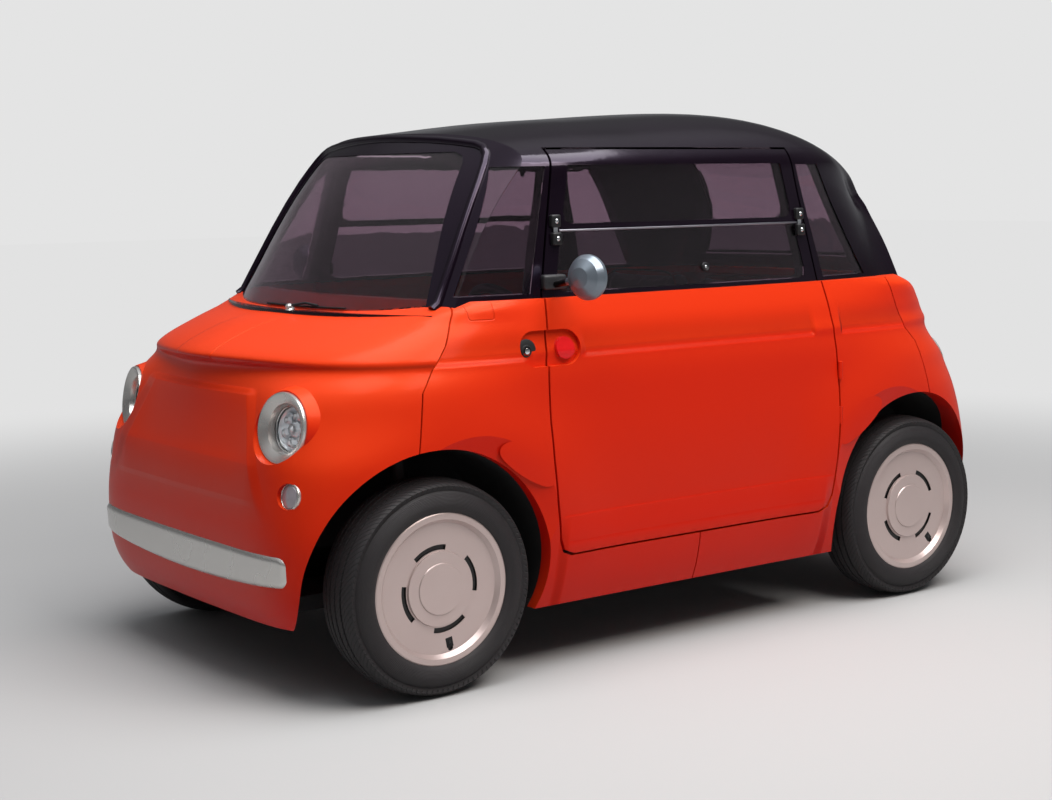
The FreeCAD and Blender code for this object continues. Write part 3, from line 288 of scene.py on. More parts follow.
sideRelief = [
    # pressed channel along the waist, closed short of the door's hinge edge
    *profileRows("channel", (
        (0.800, 1.0), (0.829, 1.0), (0.835, 0.93), (0.842, 0.20), (0.848, 0.0), (0.858, 0.08), (0.880, 0.60),
        (0.905, 0.93), (0.930, 1.0))),
    ("hand", "SIGN", "place.X"),
    ("along", "MULTIPLY", "place.Y", "hand"),
    ("shutFrom", "smooth", "along", 0.425, 0.450),
    ("shutTo", "smooth", "along", 0.556, 0.548),
    ("shut", "MULTIPLY", "shutFrom", "shutTo"),
    ("ahead", "smooth", "along", -0.42, -0.40),
    ("behind", "smooth", "along", -0.56, -0.62),
    ("open", "MAXIMUM", "ahead", "behind"),
    ("seen", "SUBTRACT", "open", "shut"),
    ("depth", "SUBTRACT", 1.0, "channel"),
    ("sunk", "MULTIPLY", "depth", "seen"),
    ("skin", "SUBTRACT", 1.0, "sunk"),
    ("normal", "Bump", {"Height": "skin", "Distance": 0.012, "Normal": "normal"}),
    # lower crease of the doors: below it the skin leans out
    *profileRows("crease", (
        (0.30, 1.0), (0.33, 1.0), (0.35, 0.88), (0.417, 0.10), (0.424, 0.02), (0.44, 0.0), (0.46, 0.0))),
    ("off", "ABSOLUTE", "place.Y"),
    ("past", "smooth", "off", 0.47, 0.51),
    ("reach", "SUBTRACT", 1.0, "past"),
    ("lean", "MULTIPLY", "crease", "reach"),
    ("normal", "Bump", {"Height": "lean", "Distance": 0.016, "Normal": "normal"}),
]
# outlines of the small covers on the front wing and the rear quarter: middle, half length and foot
for middle, half, foot in ((-0.700, 0.034, 0.944), (0.845, 0.030, 0.951)):
    sideRelief += [
        ("away", "SUBTRACT", "place.Y", middle),
        ("wide", "ABSOLUTE", "away"),
        ("across", "SUBTRACT", "wide", half),
        ("upright", "SUBTRACT", foot, "place.Z"),
        ("edge", "SMOOTH_MAX", "across", "upright", 0.012),
        ("line", "ABSOLUTE", "edge"),
        ("groove", "smooth", "line", 0.0005, 0.0022),
        ("normal", "Bump", {"Height": "groove", "Distance": 0.0014, "Normal": "normal"}),
    ]
noseRelief = [
    ("side", "ABSOLUTE", "place.X"),
    # raised middle of the bonnet, fading out towards the windscreen
    ("ridgeSide", "smooth", "side", 0.103, 0.094),
    ("ridgeFront", "smooth", "place.Y", -0.95, -1.05),
    ("ridgeFoot", "smooth", "place.Z", 0.842, 0.850),
    ("ridgeStrip", "MULTIPLY", "ridgeSide", "ridgeFront"),
    ("ridge", "MULTIPLY", "ridgeStrip", "ridgeFoot"),
    ("normal", "Bump", {"Height": "ridge", "Distance": 0.0035, "Normal": "normal"}),
    # raised panel between the lamps with a sharp upper edge
    ("fall", "MULTIPLY", "place.Z", 0.55),
    ("slope", "ADD", "side", "fall"),
    ("panelTop", "smooth", "place.Z", 0.784, 0.764),
    ("panelSide", "smooth", "slope", 0.748, 0.690),
    ("panelFoot", "smooth", "place.Z", 0.45, 0.62),
    ("panelStrip", "MULTIPLY", "panelTop", "panelSide"),
    ("panel", "MULTIPLY", "panelStrip", "panelFoot"),
    ("normal", "Bump", {"Height": "panel", "Distance": 0.018, "Normal": "normal"}),
    # crisp lower edge of the bonnet's lip
    *profileRows("lip", ((0.790, 0.0), (0.826, 0.04), (0.835, 0.22), (0.842, 0.88), (0.850, 1.0), (0.880, 1.0))),
    ("normal", "Bump", {"Height": "lip", "Distance": 0.008, "Normal": "normal"}),
    # shallow belt across the lower nose
    *profileRows("belt", ((0.47, 0.0), (0.50, 0.0), (0.515, 0.9), (0.60, 1.0), (0.618, 0.1), (0.64, 0.0))),
    ("middle", "smooth", "side", 0.44, 0.36),
    ("beltFace", "MULTIPLY", "belt", "middle"),
    ("normal", "Bump", {"Height": "beltFace", "Distance": 0.004, "Normal": "normal"}),
]
tailRelief = [
    # edge of the tailgate below the rear window
    ("side", "ABSOLUTE", "place.X"),
    ("across", "SUBTRACT", "side", 0.40),
    ("below", "SUBTRACT", 0.60, "place.Z"),
    ("edge", "SMOOTH_MAX", "across", "below", 0.06),
    ("line", "ABSOLUTE", "edge"),
    ("groove", "smooth", "line", 0.001, 0.0035),
    ("normal", "Bump", {"Height": "groove", "Distance": 0.003, "Normal": "normal"}),
]


def grained(name, colours, roughness, size, depth, values=None):
    # A moulded or coated surface: two close tones, a fine grain of the given size in millimetres
    return makeMaterial(name, {"IOR": 1.5, **(values or {})}, [
        ("grain", "TexNoise", {"Vector": "space.Object", "Scale": 1000 / size, "Detail": 3.0}),
        ("blotch", "TexNoise", {"Vector": "space.Object", "Scale": 6.0, "Detail": 3.0}),
        ("colour", "blend", {"Factor": "blotch.Fac", "A": linear(colours[0]), "B": linear(colours[1])}),
        ("rough", "MapRange", "blotch.Fac", 0.3, 0.7, *roughness),
        ("normal", "Bump", {"Height": "grain.Fac", "Strength": 0.7, "Distance": depth})])


def tinted(name, colour, roughness, ior, ripple):
    # Clear or coloured sheet that light passes through, with a very slight ripple
    surface = {"Base Color": linear(colour), "Roughness": roughness, "IOR": ior, "Transmission Weight": 1.0}
    return makeMaterial(name, surface, [
        ("wave", "TexNoise", {"Vector": "space.Object", "Scale": 9.0, "Detail": 1.0}),
        ("normal", "Bump", {"Height": "wave.Fac", "Strength": 0.25, "Distance": ripple})])


perMetre = 1000 / 20  # a wave texture of scale 1 has 20 radians a metre


def fluted(name, colour, roughness, spacing):
    # Moulded lamp lens: fine upright flutes break up what is behind it
    surface = {"Base Color": linear(colour), "Roughness": roughness, "IOR": 1.49, "Transmission Weight": 1.0}
    return makeMaterial(name, surface, [
        ("wave", "waveX", {"Vector": "space.Object", "Scale": perMetre / spacing}),
        ("normal", "Bump", {"Height": "wave.Fac", "Strength": 0.4, "Distance": 0.0006})])


rubberLook = {"sipes": 104.0, "slant": 5.0, "sipeDepth": 0.0035, "ringSpacing": 0.0032, "ringDepth": 0.00035}


def tyreRubber(name, centre):
    # Vulcanised rubber: matt black, paler where dusty, sipes across the tread every 16 mm with painted shade in them
    return makeMaterial(name, {"IOR": 1.52}, [
        ("fromHub", "offset", "space.Object", centre),
        ("hub", "SeparateXYZ", "fromHub"),
        ("ySquare", "MULTIPLY", "hub.Y", "hub.Y"),
        ("zSquare", "MULTIPLY", "hub.Z", "hub.Z"),
        ("square", "ADD", "ySquare", "zSquare"),
        ("radius", "SQRT", "square"),
        ("turn", "ARCTAN2", "hub.Z", "hub.Y"),
        ("side", "ABSOLUTE", "hub.X"),
        ("slant", "MULTIPLY", "side", rubberLook["slant"]),
        ("twisted", "ADD", "turn", "slant"),
        ("sipeAngle", "MULTIPLY", "twisted", rubberLook["sipes"]),
        ("sipe", "SINE", "sipeAngle"),
        ("whole", "smooth", "sipe", -0.96, -0.55),
        ("onTread", "smooth", "radius", 0.2540, 0.2600),
        ("cut", "SUBTRACT", 1.0, "whole"),
        ("cutTread", "MULTIPLY", "onTread", "cut"),
        ("tread", "SUBTRACT", 1.0, "cutTread"),
        ("dust", "TexNoise", {"Vector": "space.Object", "Scale": 14.0, "Detail": 5.0}),
        ("tone", "blend", {"Factor": "dust.Fac", "A": linear("#161214"), "B": linear("#211C1F")}),
        # painted shade: the sipes are coloured near-black
        ("colour", "blend", {"Factor": "tread", "A": linear("#070607"), "B": "tone"}),
        ("rough", "MapRange", "dust.Fac", 0.0, 1.0, 0.55, 0.80),
        ("ringAngle", "MULTIPLY", "radius", math.tau / rubberLook["ringSpacing"]),
        ("rings", "SINE", "ringAngle"),
        ("wallFrom", "smooth", "radius", 0.205, 0.210),
        ("wallTo", "smooth", "radius", 0.247, 0.242),
        ("wall", "MULTIPLY", "wallFrom", "wallTo"),
        ("ringWall", "MULTIPLY", "rings", "wall"),
        ("dustNormal", "Bump", {"Height": "dust.Fac", "Distance": 0.0003}),
        ("ringNormal", "Bump", {
            "Height": "ringWall", "Distance": rubberLook["ringDepth"], "Normal": "dustNormal"}),
        ("normal", "Bump", {"Height": "tread", "Distance": rubberLook["sipeDepth"], "Normal": "ringNormal"})])


def wheelLacquer(name):
    # Silver lacquer with a rosy cast on moulded covers; the pockets and every face behind the cover's front face are
    # painted near-black as painted shade
    surface = {"IOR": 1.5, "Metallic": 0.45, "Coat Weight": 0.25, "Coat Roughness": 0.12}
    return makeMaterial(name, surface, [
        ("side", "ABSOLUTE", "place.X"),
        ("depth", "SUBTRACT", "side", 0.600),
        ("solid", "smooth", "depth", 0.0515, 0.0530),
        ("blotch", "TexNoise", {"Vector": "space.Object", "Scale": 8.0, "Detail": 3.0}),
        ("tone", "blend", {"Factor": "blotch.Fac", "A": linear("#BBA8A4"), "B": linear("#C6B4B0")}),
        # painted shade: near-black on every face deeper than the cover's front face
        ("colour", "blend", {"Factor": "solid", "A": linear("#0A0809"), "B": "tone"}),
        ("rough", "MapRange", "blotch.Fac", 0.0, 1.0, 0.24, 0.36)])


def mirrorLacquer(name):
    # Metallic lacquer on the round head, black on the arm; the head's blue-grey is partly the lacquer's tone and partly
    # a painted reflection of the pale sky on a gloss black shell
    surface = {"IOR": 1.5, "Roughness": 0.30, "Metallic": 0.6, "Coat Weight": 0.2, "Coat Roughness": 0.1}
    return makeMaterial(name, surface, [
        ("side", "ABSOLUTE", "place.X"),
        ("head", "smooth", "side", 0.680, 0.684),
        ("fleck", "TexNoise", {"Vector": "space.Object", "Scale": 30.0, "Detail": 2.0}),
        # partly painted reflection: the blue-grey head tones stand in for sky reflected on a black shell
        ("tone", "blend", {"Factor": "fleck.Fac", "A": linear("#727C86"), "B": linear("#7E8892")}),
        ("colour", "blend", {"Factor": "head", "A": linear("#0C0A0C"), "B": "tone"})])


def wovenCloth(name, colours, thread):
    # Flat woven polyester: crossing threads, a soft sheen and slightly mixed yarn colours
    surface = {"Roughness": 0.85, "Sheen Weight": 0.35, "Sheen Roughness": 0.5, "IOR": 1.45}
    yarn = {"Vector": "space.Object", "Scale": perMetre / thread, "Distortion": 0.6}
    return makeMaterial(name, surface, [
        *[("yarn" + way, "wave" + way, yarn) for way in "XYZ"],
        ("flatYarns", "MAXIMUM", "yarnY.Fac", "yarnZ.Fac"),
        ("weave", "MAXIMUM", "yarnX.Fac", "flatYarns"),
        ("fleck", "TexNoise", {"Vector": "space.Object", "Scale": 260.0, "Detail": 2.0}),
        ("colour", "blend", {"Factor": "fleck.Fac", "A": linear(colours[0]), "B": linear(colours[1])}),
        ("fleckNormal", "Bump", {"Height": "fleck.Fac", "Distance": 0.0004}),
        ("normal", "Bump", {"Height": "weave", "Distance": 0.0006, "Normal": "fleckNormal"})])


finishes = {
    "side": paintCoat("satinPaintOnPlasticPanels", sideRelief),
    "nose": paintCoat("satinPaintOnNosePanel", noseRelief),
    "tail": paintCoat("satinPaintOnTailPanel", tailRelief),
    "paint": paintCoat("satinPaintPlain"),
    "rubberFront": tyreRubber("vulcanisedRubberFront", (0, -0.864, 0.2785)),
    "rubberRear": tyreRubber("vulcanisedRubberRear", (0, 0.864, 0.2785)),
    # polished ABS with a violet cast in its reflections
    "black": grained("glossBlackAbs", ("#0C060D", "#120A13"), (0.12, 0.17), 6.0, 0.00001, {
        "Coat Weight": 0.12, "Coat Roughness": 0.06, "Specular IOR Level": 0.3,
        "Specular Tint": (0.85, 0.66, 1.0, 1.0)}),
    # satin moulded trim, a little paler than the gloss frame
    "trim": grained("satinBlackPolypropylene", ("#17171A", "#202024"), (0.42, 0.55), 1.2, 0.00012),
    # dull black line round panes and lamps
    "rubber": grained("extrudedRubberSeal", ("#0C0C0D", "#151516"), (0.45, 0.60), 1.5, 0.00008),
    # privacy glass: smoky violet, almost black where the cabin behind it is dark
    "glass": tinted("tintedPolycarbonatePane", "#AA97A4", 0.012, 1.42, 0.0001),
    # coarse matt black of inner mouldings
    "dark": grained("mouldedBlackPolypropylene", ("#101012", "#19191B"), (0.55, 0.72), 1.6, 0.00018),
    # fibrous black that swallows the light in the wheel housings
    "liner": grained("feltedWheelLiner", ("#0B0B0C", "#141415"), (0.80, 0.95), 2.4, 0.0006),
    # black coat over steel, with a dull metal sheen
    "steel": grained("coatedSteel", ("#1B1B1D", "#29292B"), (0.38, 0.52), 2.0, 0.00012, {"Metallic": 0.4}),
    # silver lacquer over plastic: even, satin, warm in the light and cool in shade
    "silver": grained("silverLacquerOnPlastic", ("#C6C4C0", "#CECCC8"), (0.26, 0.28), 60.0, 0.0, {
        "Metallic": 0.75, "Coat Weight": 0.2, "Coat Roughness": 0.1}),
    "cover": wheelLacquer("rosySilverWheelLacquer"),
    # bright metal film that mirrors its surroundings
    "chrome": grained("vacuumMetalledReflector", ("#D8DADD", "#E6E8EA"), (0.08, 0.16), 2.0, 0.00004, {
        "Metallic": 1.0}),
    # drawn steel rod, greyed by handling
    "dullSteel": grained("drawnSteelRod", ("#8A8890", "#9A98A0"), (0.28, 0.40), 3.0, 0.00003, {"Metallic": 1.0}),
    "mirrorShell": mirrorLacquer("blueGreyMirrorLacquer"),
    # silvered glass, the sharpest reflection on the car
    "mirror": grained("silveredMirrorGlass", ("#C9CDD2", "#D2D6DA"), (0.02, 0.04), 30.0, 0.00001, {
        "Metallic": 1.0}),
    # clear cover that leaves the lamp's inside in sight
    "lens": tinted("clearPolycarbonateLens", "#F8FAFC", 0.01, 1.40, 0.0002),
    "redLens": fluted("redAcrylicLens", "#B00D10", 0.05, 6.0),
    # the marker lamps' milky acrylic over a silvered back
    "smokedLens": grained("milkyAcrylicLens", ("#A39AA0", "#B3AAB0"), (0.12, 0.18), 4.0, 0.0001, {
        "Metallic": 0.3, "Coat Weight": 0.7, "Coat Roughness": 0.04}),
    # soft silver bowl behind the clear lens
    "lampSilver": grained("bakedLampReflector", ("#E4E6EA", "#EEF0F2"), (0.18, 0.30), 5.0, 0.0002, {
        "Metallic": 0.55}),
    "cloth": wovenCloth("wovenSeatPolyester", ("#2B2B30", "#3B3A41"), 2.0),
    # dark red cord sewn round the cushions
    "piping": grained("seatPiping", ("#5A1712", "#6E1D17"), (0.6, 0.75), 1.0, 0.0002),
    # soft grey-black that hardly shines
    "dash": grained("softTouchDashPlastic", ("#1B1A1D", "#26252A"), (0.50, 0.66), 1.1, 0.0002),
    # foamed rim, darker and smoother than the dashboard
    "grip": grained("steeringWheelPolyurethane", ("#121213", "#1B1B1D"), (0.40, 0.55), 0.9, 0.00016),
    # bright red push button with a wet gloss
    "button": grained("redPolishedAbs", ("#D01018", "#DC1A1C"), (0.10, 0.16), 3.0, 0.00002, {
        "Coat Weight": 0.6, "Coat Roughness": 0.04}),
    # unlit glossy display
    "screen": grained("darkDisplayCover", ("#050608", "#090A0D"), (0.06, 0.10), 8.0, 0.00001),
    # tufted floor, the roughest surface in the cabin
    "carpet": grained("needleFeltCarpet", ("#18181A", "#232326"), (0.85, 0.98), 2.2, 0.0012, {"Sheen Weight": 0.2}),
}
nodeFinishes = {
    "nose": ("nose_panel",),
    "tail": ("tail_panel",),
    "side": ("front_side_panels", "rear_side_panels", "door_left", "door_right"),
    "paint": ("door_hinges",),
    "black": ("cabin_frame", "roof_panel", "door_frame_left", "door_frame_right"),
    "mirrorShell": ("mirror_left", "mirror_right"),
    "glass": ("windscreen", "rear_glass", "door_glass_left", "door_glass_right"),
    "carpet": ("floor_pan",),
    "dark": ("bulkheads", "seat_frames", "motor_block", "battery_block"),
    "liner": ("wheel_liners",),
    "steel": ("front_suspension", "rear_axle", "knuckle_left", "knuckle_right"),
    "silver": ("lamp_bezels", "bumpers"),
    "lens": ("headlamp_lenses",),
    "redLens": ("tail_lamp_lenses",),
    "smokedLens": ("indicators",),
    "dash": ("dashboard",),
    "grip": ("steering_wheel",),
    "button": ("latch_button_left", "latch_button_right"),
    "cloth": ("seat_pads_left", "seat_pads_right"),
    "cover": ("wheel_front_left", "wheel_front_right", "wheel_rear_left", "wheel_rear_right"),
}
for finish, nodeNames in nodeFinishes.items():
    for nodeName in nodeNames:
        for slot in nodes[nodeName].material_slots:
            slot.link = "OBJECT"
            slot.material = finishes[finish]
print("materials set")


# Tyres with tread grooves
tyre = {"radius": 0.2782, "rim": 0.1785, "bead": 0.1983, "beadHalf": 0.0565, "lipHalf": 0.0628, "half": 0.0770,
        "wallRadius": 0.2215, "wallRise": 0.0335, "wallDip": 0.0300, "wallTurn": 58, "wallSteps": 8,
        "shoulder": ((0.2625, 0.0690), (0.2672, 0.0640), (0.2706, 0.0575)), "crownHalf": 0.0575, "crownDrop": 0.0078,
        "grooves": (0.034, 0.0115, -0.0115, -0.034), "grooveHalf": 0.0032, "grooveDepth": 0.0062, "ribMiddle": 0.0112,
        "steps": 120}
ends = {"front": -0.864, "rear": 0.864}
sides = {"left": 1, "right": -1}


def tyreOutline():
    t = tyre
    wall = []
    for step in range(t["wallSteps"] + 1):
        angle = math.radians(t["wallTurn"] * (2 * step / t["wallSteps"] - 1))
        dip = t["wallDip"] * (1 - math.cos(angle))
        wall.append((t["wallRadius"] + t["wallRise"] * math.sin(angle), t["half"] - dip))

    def crown(along):
        return t["radius"] - t["crownDrop"] * (abs(along) / t["crownHalf"]) ** 2

    tread = []
    for middle in t["grooves"]:
        for offset, depth in ((1.0, 0), (0.8, 1), (-0.8, 1), (-1.0, 0)):
            along = middle + offset * t["grooveHalf"]
            tread.append((crown(along) - depth * t["grooveDepth"], along))
        tread.append((crown(middle - t["ribMiddle"]), middle - t["ribMiddle"]))
    tread.pop()
    outer = [(t["bead"], t["lipHalf"]), *wall, *t["shoulder"]]
    inner = [(radius, -along) for radius, along in reversed(outer)]
    return [(t["rim"], -t["beadHalf"]), (t["rim"], t["beadHalf"]), (t["bead"], t["beadHalf"]), *outer, *tread, *inner,
            (t["bead"], -t["beadHalf"]), (t["rim"], -t["beadHalf"])]


for end in ends:
    for side in sides:
        low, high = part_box(f"tyre_{end}_{side}")
        piece = spunForm(tyreOutline(), (low + high) / 2, (1, 0, 0), tyre["steps"])
        finishPiece(piece, f"treadTyre_{end}_{side}", "rubber" + end.title(), f"{end}_{side}_wheel", 30)
        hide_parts(f"tyre_{end}_{side}")
print("tyres made")


# Valve opening at the edge of each wheel cover: a near-black block painted in as its shade, and the valve stem
valve = {"reach": 0.1435, "angles": {"front": 280, "rear": 310}, "face": 0.6536, "hub": 0.2785,
         "size": (0.0022, 0.026, 0.021), "edge": 0.001,
         "stem": ((0.0, 0.003), (0.003, 0.0028), (0.0036, 0.001), (0.0036, -0.001), (0.0, -0.001))}


def valveOpenings():
    for end, along in ends.items():
        angle = math.radians(valve["angles"][end])
        for side, facing in sides.items():
            place = (facing * valve["face"], along + facing * valve["reach"] * math.cos(angle),
                     valve["hub"] + valve["reach"] * math.sin(angle))
            hole = roundBlock(valve["size"], place, valve["edge"], (facing * angle, 0, 0), 2)
            # painted shade: a thin near-black block stands for the dark inside of the opening
            finishPiece(hole, f"valveOpening_{end}_{side}", "liner", f"{end}_{side}_wheel")
            stem = spunForm(valve["stem"], place, (facing, 0, 0), 16)
            finishPiece(stem, f"valveStem_{end}_{side}", "trim", f"{end}_{side}_wheel")


valveOpenings()


# Lamps: the same place and lean as the turned cups of the CAD model
lamp = {"across": 0.447, "height": 0.694, "stand": {"front": 1.1778, "rear": 1.1677}, "radius": 0.090, "depth": 0.070,
        "turn": 10, "lift": 9,
        "reflector": ((0.0, -0.82), (0.30, -0.82), (0.52, -0.74), (0.60, -0.60)),
        "gapRing": ((0.66, -0.345), (0.72, -0.275), (0.705, -0.255), (0.65, -0.325), (0.66, -0.345)),
        "rim": ((0.655, -0.021), (0.66, -0.016), (0.71, -0.004), (0.90, 0.0085), (0.965, 0.0105), (1.005, 0.0085),
                (1.02, 0.003), (1.015, -0.012), (0.97, -0.021), (0.655, -0.021)),
        "facets": 6, "facetReach": 0.36, "facetDepth": 0.62, "middleDepth": 0.60,
        "facet": ((0.0, 0.009), (0.005, 0.008), (0.010, 0.004), (0.0135, -0.002), (0.0135, -0.006), (0.0, -0.006)),
        "middle": ((0.0, 0.013), (0.006, 0.012), (0.012, 0.007), (0.0145, 0.0), (0.0165, -0.001), (0.0165, -0.008),
                   (0.0, -0.008))}
marker = {"across": 0.528, "height": 0.537, "stand": 1.2043, "radius": 0.032,
          "ring": ((0.90, 0.004), (0.96, 0.0075), (1.08, 0.006), (1.12, 0.001), (1.10, -0.004), (0.90, -0.004),
                   (0.90, 0.004))}


def lampAxis(end, side, across, height, stand):
    turn, lift = math.radians(lamp["turn"]), math.radians(lamp["lift"])
    facing = -1 if end == "rear" else 1
    axis = Vector((facing * side * math.sin(turn) * math.cos(lift), -facing * math.cos(turn) * math.cos(lift),
                   math.sin(lift)))
    return Vector((facing * side * across, -facing * stand, height)), axis


def lampInside(name, centre, axis, lensFinish):
    radius, depth = lamp["radius"], lamp["depth"]
    for part, unit, steps, finish, slot, angle in (
            ("reflector", depth, 48, "lampSilver", "silver_trim", 40),
            ("gapRing", depth, 48, "rubber", "structure", 40),
            ("rim", 1.0, 72, "silver", "silver_trim", 30)):
        outline = [(share * radius, along * unit) for share, along in lamp[part]]
        finishPiece(spunForm(outline, centre, axis, steps), f"{name}_{part}", finish, "car", angle)
    tilt = Vector((0, 0, 1)).rotation_difference(axis).to_matrix()
    reach = lamp["facetReach"] * radius
    for index in range(lamp["facets"]):
        angle = math.radians(30 + 360 / lamp["facets"] * index)
        spot = tilt @ Vector((reach * math.cos(angle), reach * math.sin(angle), -lamp["facetDepth"] * depth))
        facet = spunForm(lamp["facet"], centre + spot, axis, 6)
        finishPiece(facet, f"{name}_facet_{index}", lensFinish, "car", 20)
    middle = spunForm(lamp["middle"], centre + tilt @ Vector((0, 0, -lamp["middleDepth"] * depth)), axis, 32)
    finishPiece(middle, f"{name}_middle", lensFinish, "car", 40)


for label, side in sides.items():
    for end, name, lensFinish, slotName in (("front", "headlamp", "lampSilver", "silver_trim"),
                                            ("rear", "tailLamp", "redLens", "red_lens")):
        centre, axis = lampAxis(end, side, lamp["across"], lamp["height"], lamp["stand"][end])
        lampInside(f"{name}_{label}", centre, axis, lensFinish)
    for end in ends:
        centre, axis = lampAxis(end, side, marker["across"], marker["height"], marker["stand"])
        ring = spunForm([(share * marker["radius"], along) for share, along in marker["ring"]], centre, axis, 40)
        finishPiece(ring, f"marker_{end}_{label}_ring", "silver", "car", 40)
print("lamps made")


# Seal round the rear window, drawn on the pane's own face
seal = {"radius": 0.0055, "step": 0.035, "start": 1.6, "sink": 0.2,
        "corners": ((-0.408, 1.042), (0.408, 1.042), (0.297, 1.335), (0.286, 1.355), (0.266, 1.366), (-0.266, 1.366),
                    (-0.286, 1.355), (-0.297, 1.335))}


def rearSeal():
    corners, points = seal["corners"], []
    for start, end in zip(corners, corners[1:] + corners[:1]):
        count = max(1, round(math.dist(start, end) / seal["step"]))
        for step in range(count):
            across, height = (a + (b - a) * step / count for a, b in zip(start, end))
            found = hit("rear_glass", (across, seal["start"], height), (0, -1, 0))
            if found:
                points.append(found[0] + Vector((0, seal["radius"] * seal["sink"], 0)))
    finishPiece(traceTube(points, seal["radius"], True), "rear_window_seal", "rubber", "car", 60)


rearSeal()
print("seals made")


# Rolled surround of the windscreen, from the cowl up the pillars and across the roof's edge
surround = {"radius": 0.0130, "start": -1.7, "shift": (0, 0.001, -0.002),
            "half": ((0.5370, 0.972), (0.5355, 0.985), (0.527, 1.035), (0.518, 1.092), (0.505, 1.165), (0.491, 1.236),
                     (0.476, 1.298), (0.462, 1.338), (0.448, 1.364), (0.425, 1.383), (0.395, 1.393), (0.350, 1.399),
                     (0.256, 1.408), (0.143, 1.414), (0.050, 1.417))}


def windscreenSurround():
    points = []
    path = surround["half"] + tuple((-across, height) for across, height in reversed(surround["half"]))
    for across, height in path:
        found = [hit(name, (across, surround["start"], height), (0, 1, 0))
                 for name in ("cabin_frame", "roof_panel", "nose_panel")]
        nearest = min((point for point, normal in filter(None, found)), key=lambda point: point.y, default=None)
        if nearest is not None:
            points.append(nearest + Vector(surround["shift"]))
    tube = traceTube(points, surround["radius"], False, 5)
    finishPiece(tube, "windscreenSurround", "black", "car", 60)


windscreenSurround()
print("surround made")


# Bumper bars: a flat face with rolled edges on the curve of the nose
bumper = {"half": 0.535, "low": 0.312, "high": 0.388, "sag": 0.0228, "corner": 0.024, "proud": 0.0068, "roll": 0.013,
          "sunk": 0.0012, "wall": 0.003, "columns": 120, "rows": 22, "crowding": 1.5, "rollPower": 2.2,
          "noseLength": 1.2616, "noseHeight": 0.36, "rake": 0.06, "noseHalf": 0.662, "noseCorner": 9, "noseBow": 0.01}


def bumperBars():
    b = bumper
    deselectAll()
    bpy.ops.mesh.primitive_grid_add(x_subdivisions=b["columns"], y_subdivisions=b["rows"], size=2, location=(0, 0, 0))
    bar = bpy.context.object
    for vertex in bar.data.vertices:
        u, v = (math.copysign(1 - (1 - abs(share)) ** b["crowding"], share) for share in vertex.co.xy)
        across = u * b["half"]
        past = max(0.0, abs(across) - (b["half"] - b["corner"]))
        pinch = b["corner"] - math.sqrt(max(0.0, b["corner"] ** 2 - past ** 2))
        low = b["low"] - b["sag"] * max(0.0, 1 - (across / b["half"]) ** 2) + pinch
        high = b["high"] - pinch
        height = low + (high - low) * (v + 1) / 2
        border = min(height - low, high - height, b["half"] - abs(across))
        rolled = min(1.0, border / b["roll"])
        wide = abs(across) / b["noseHalf"]
        along = -(b["noseLength"] - b["rake"] * (b["noseHeight"] - height))
        along *= (1 - wide ** b["noseCorner"]) ** (1 / b["noseCorner"]) * (1 - b["noseBow"] * wide ** 1.5)
        along += b["sunk"] - (b["proud"] + b["sunk"]) * (1 - (1 - rolled) ** b["rollPower"])
        vertex.co = (across, along, height)
    setOutward(bar)
    if sum(face.normal.y for face in bar.data.polygons) > 0:
        bpy.ops.object.mode_set(mode="EDIT")
        bpy.ops.mesh.flip_normals()
        bpy.ops.object.mode_set(mode="OBJECT")
    wall = bar.modifiers.new("Wall", "SOLIDIFY")
    wall.thickness, wall.offset = b["wall"], -1.0
    bar = finishPiece(bar, "bumperBar_front", "silver", "car", 40)
    rear = copyPiece(bar, "bumperBar_rear", "car", "turn")
    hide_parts("bumpers")
    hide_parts("bumpers")


bumperBars()
print("bumpers made")


# Flap windows: the bar between the panes, its end hinges and the catch of the lower pane
flap = {"height": 1.163, "start": 1.2, "ends": (-0.432, 0.432), "barRadius": 0.0030, "barStand": 0.003, "barSteps": 12,
        "hingeReach": 0.012, "hingeHeights": (1.142, 1.188), "hinge": (0.018, 0.030, 0.034), "hingeEdge": 0.005,
        "hingeStand": 0.005, "link": (0.008, 0.014, 0.058), "linkEdge": 0.003, "linkStand": 0.004, "screwStand": 0.0145,
        "screw": ((0.0, 0.0035), (0.004, 0.003), (0.0062, 0.001), (0.0066, -0.002), (0.0, -0.002)),
        "catch": (0.063, 1.049),
        "knob": ((0.0, 0.0045), (0.0068, 0.004), (0.0090, 0.0065), (0.0112, 0.006), (0.0125, 0.002), (0.0130, -0.001),
                 (0.0, -0.001)),
        "pin": ((0.0, 0.0075), (0.0030, 0.0072), (0.0045, 0.0055), (0.0048, 0.002), (0.0, 0.002))}


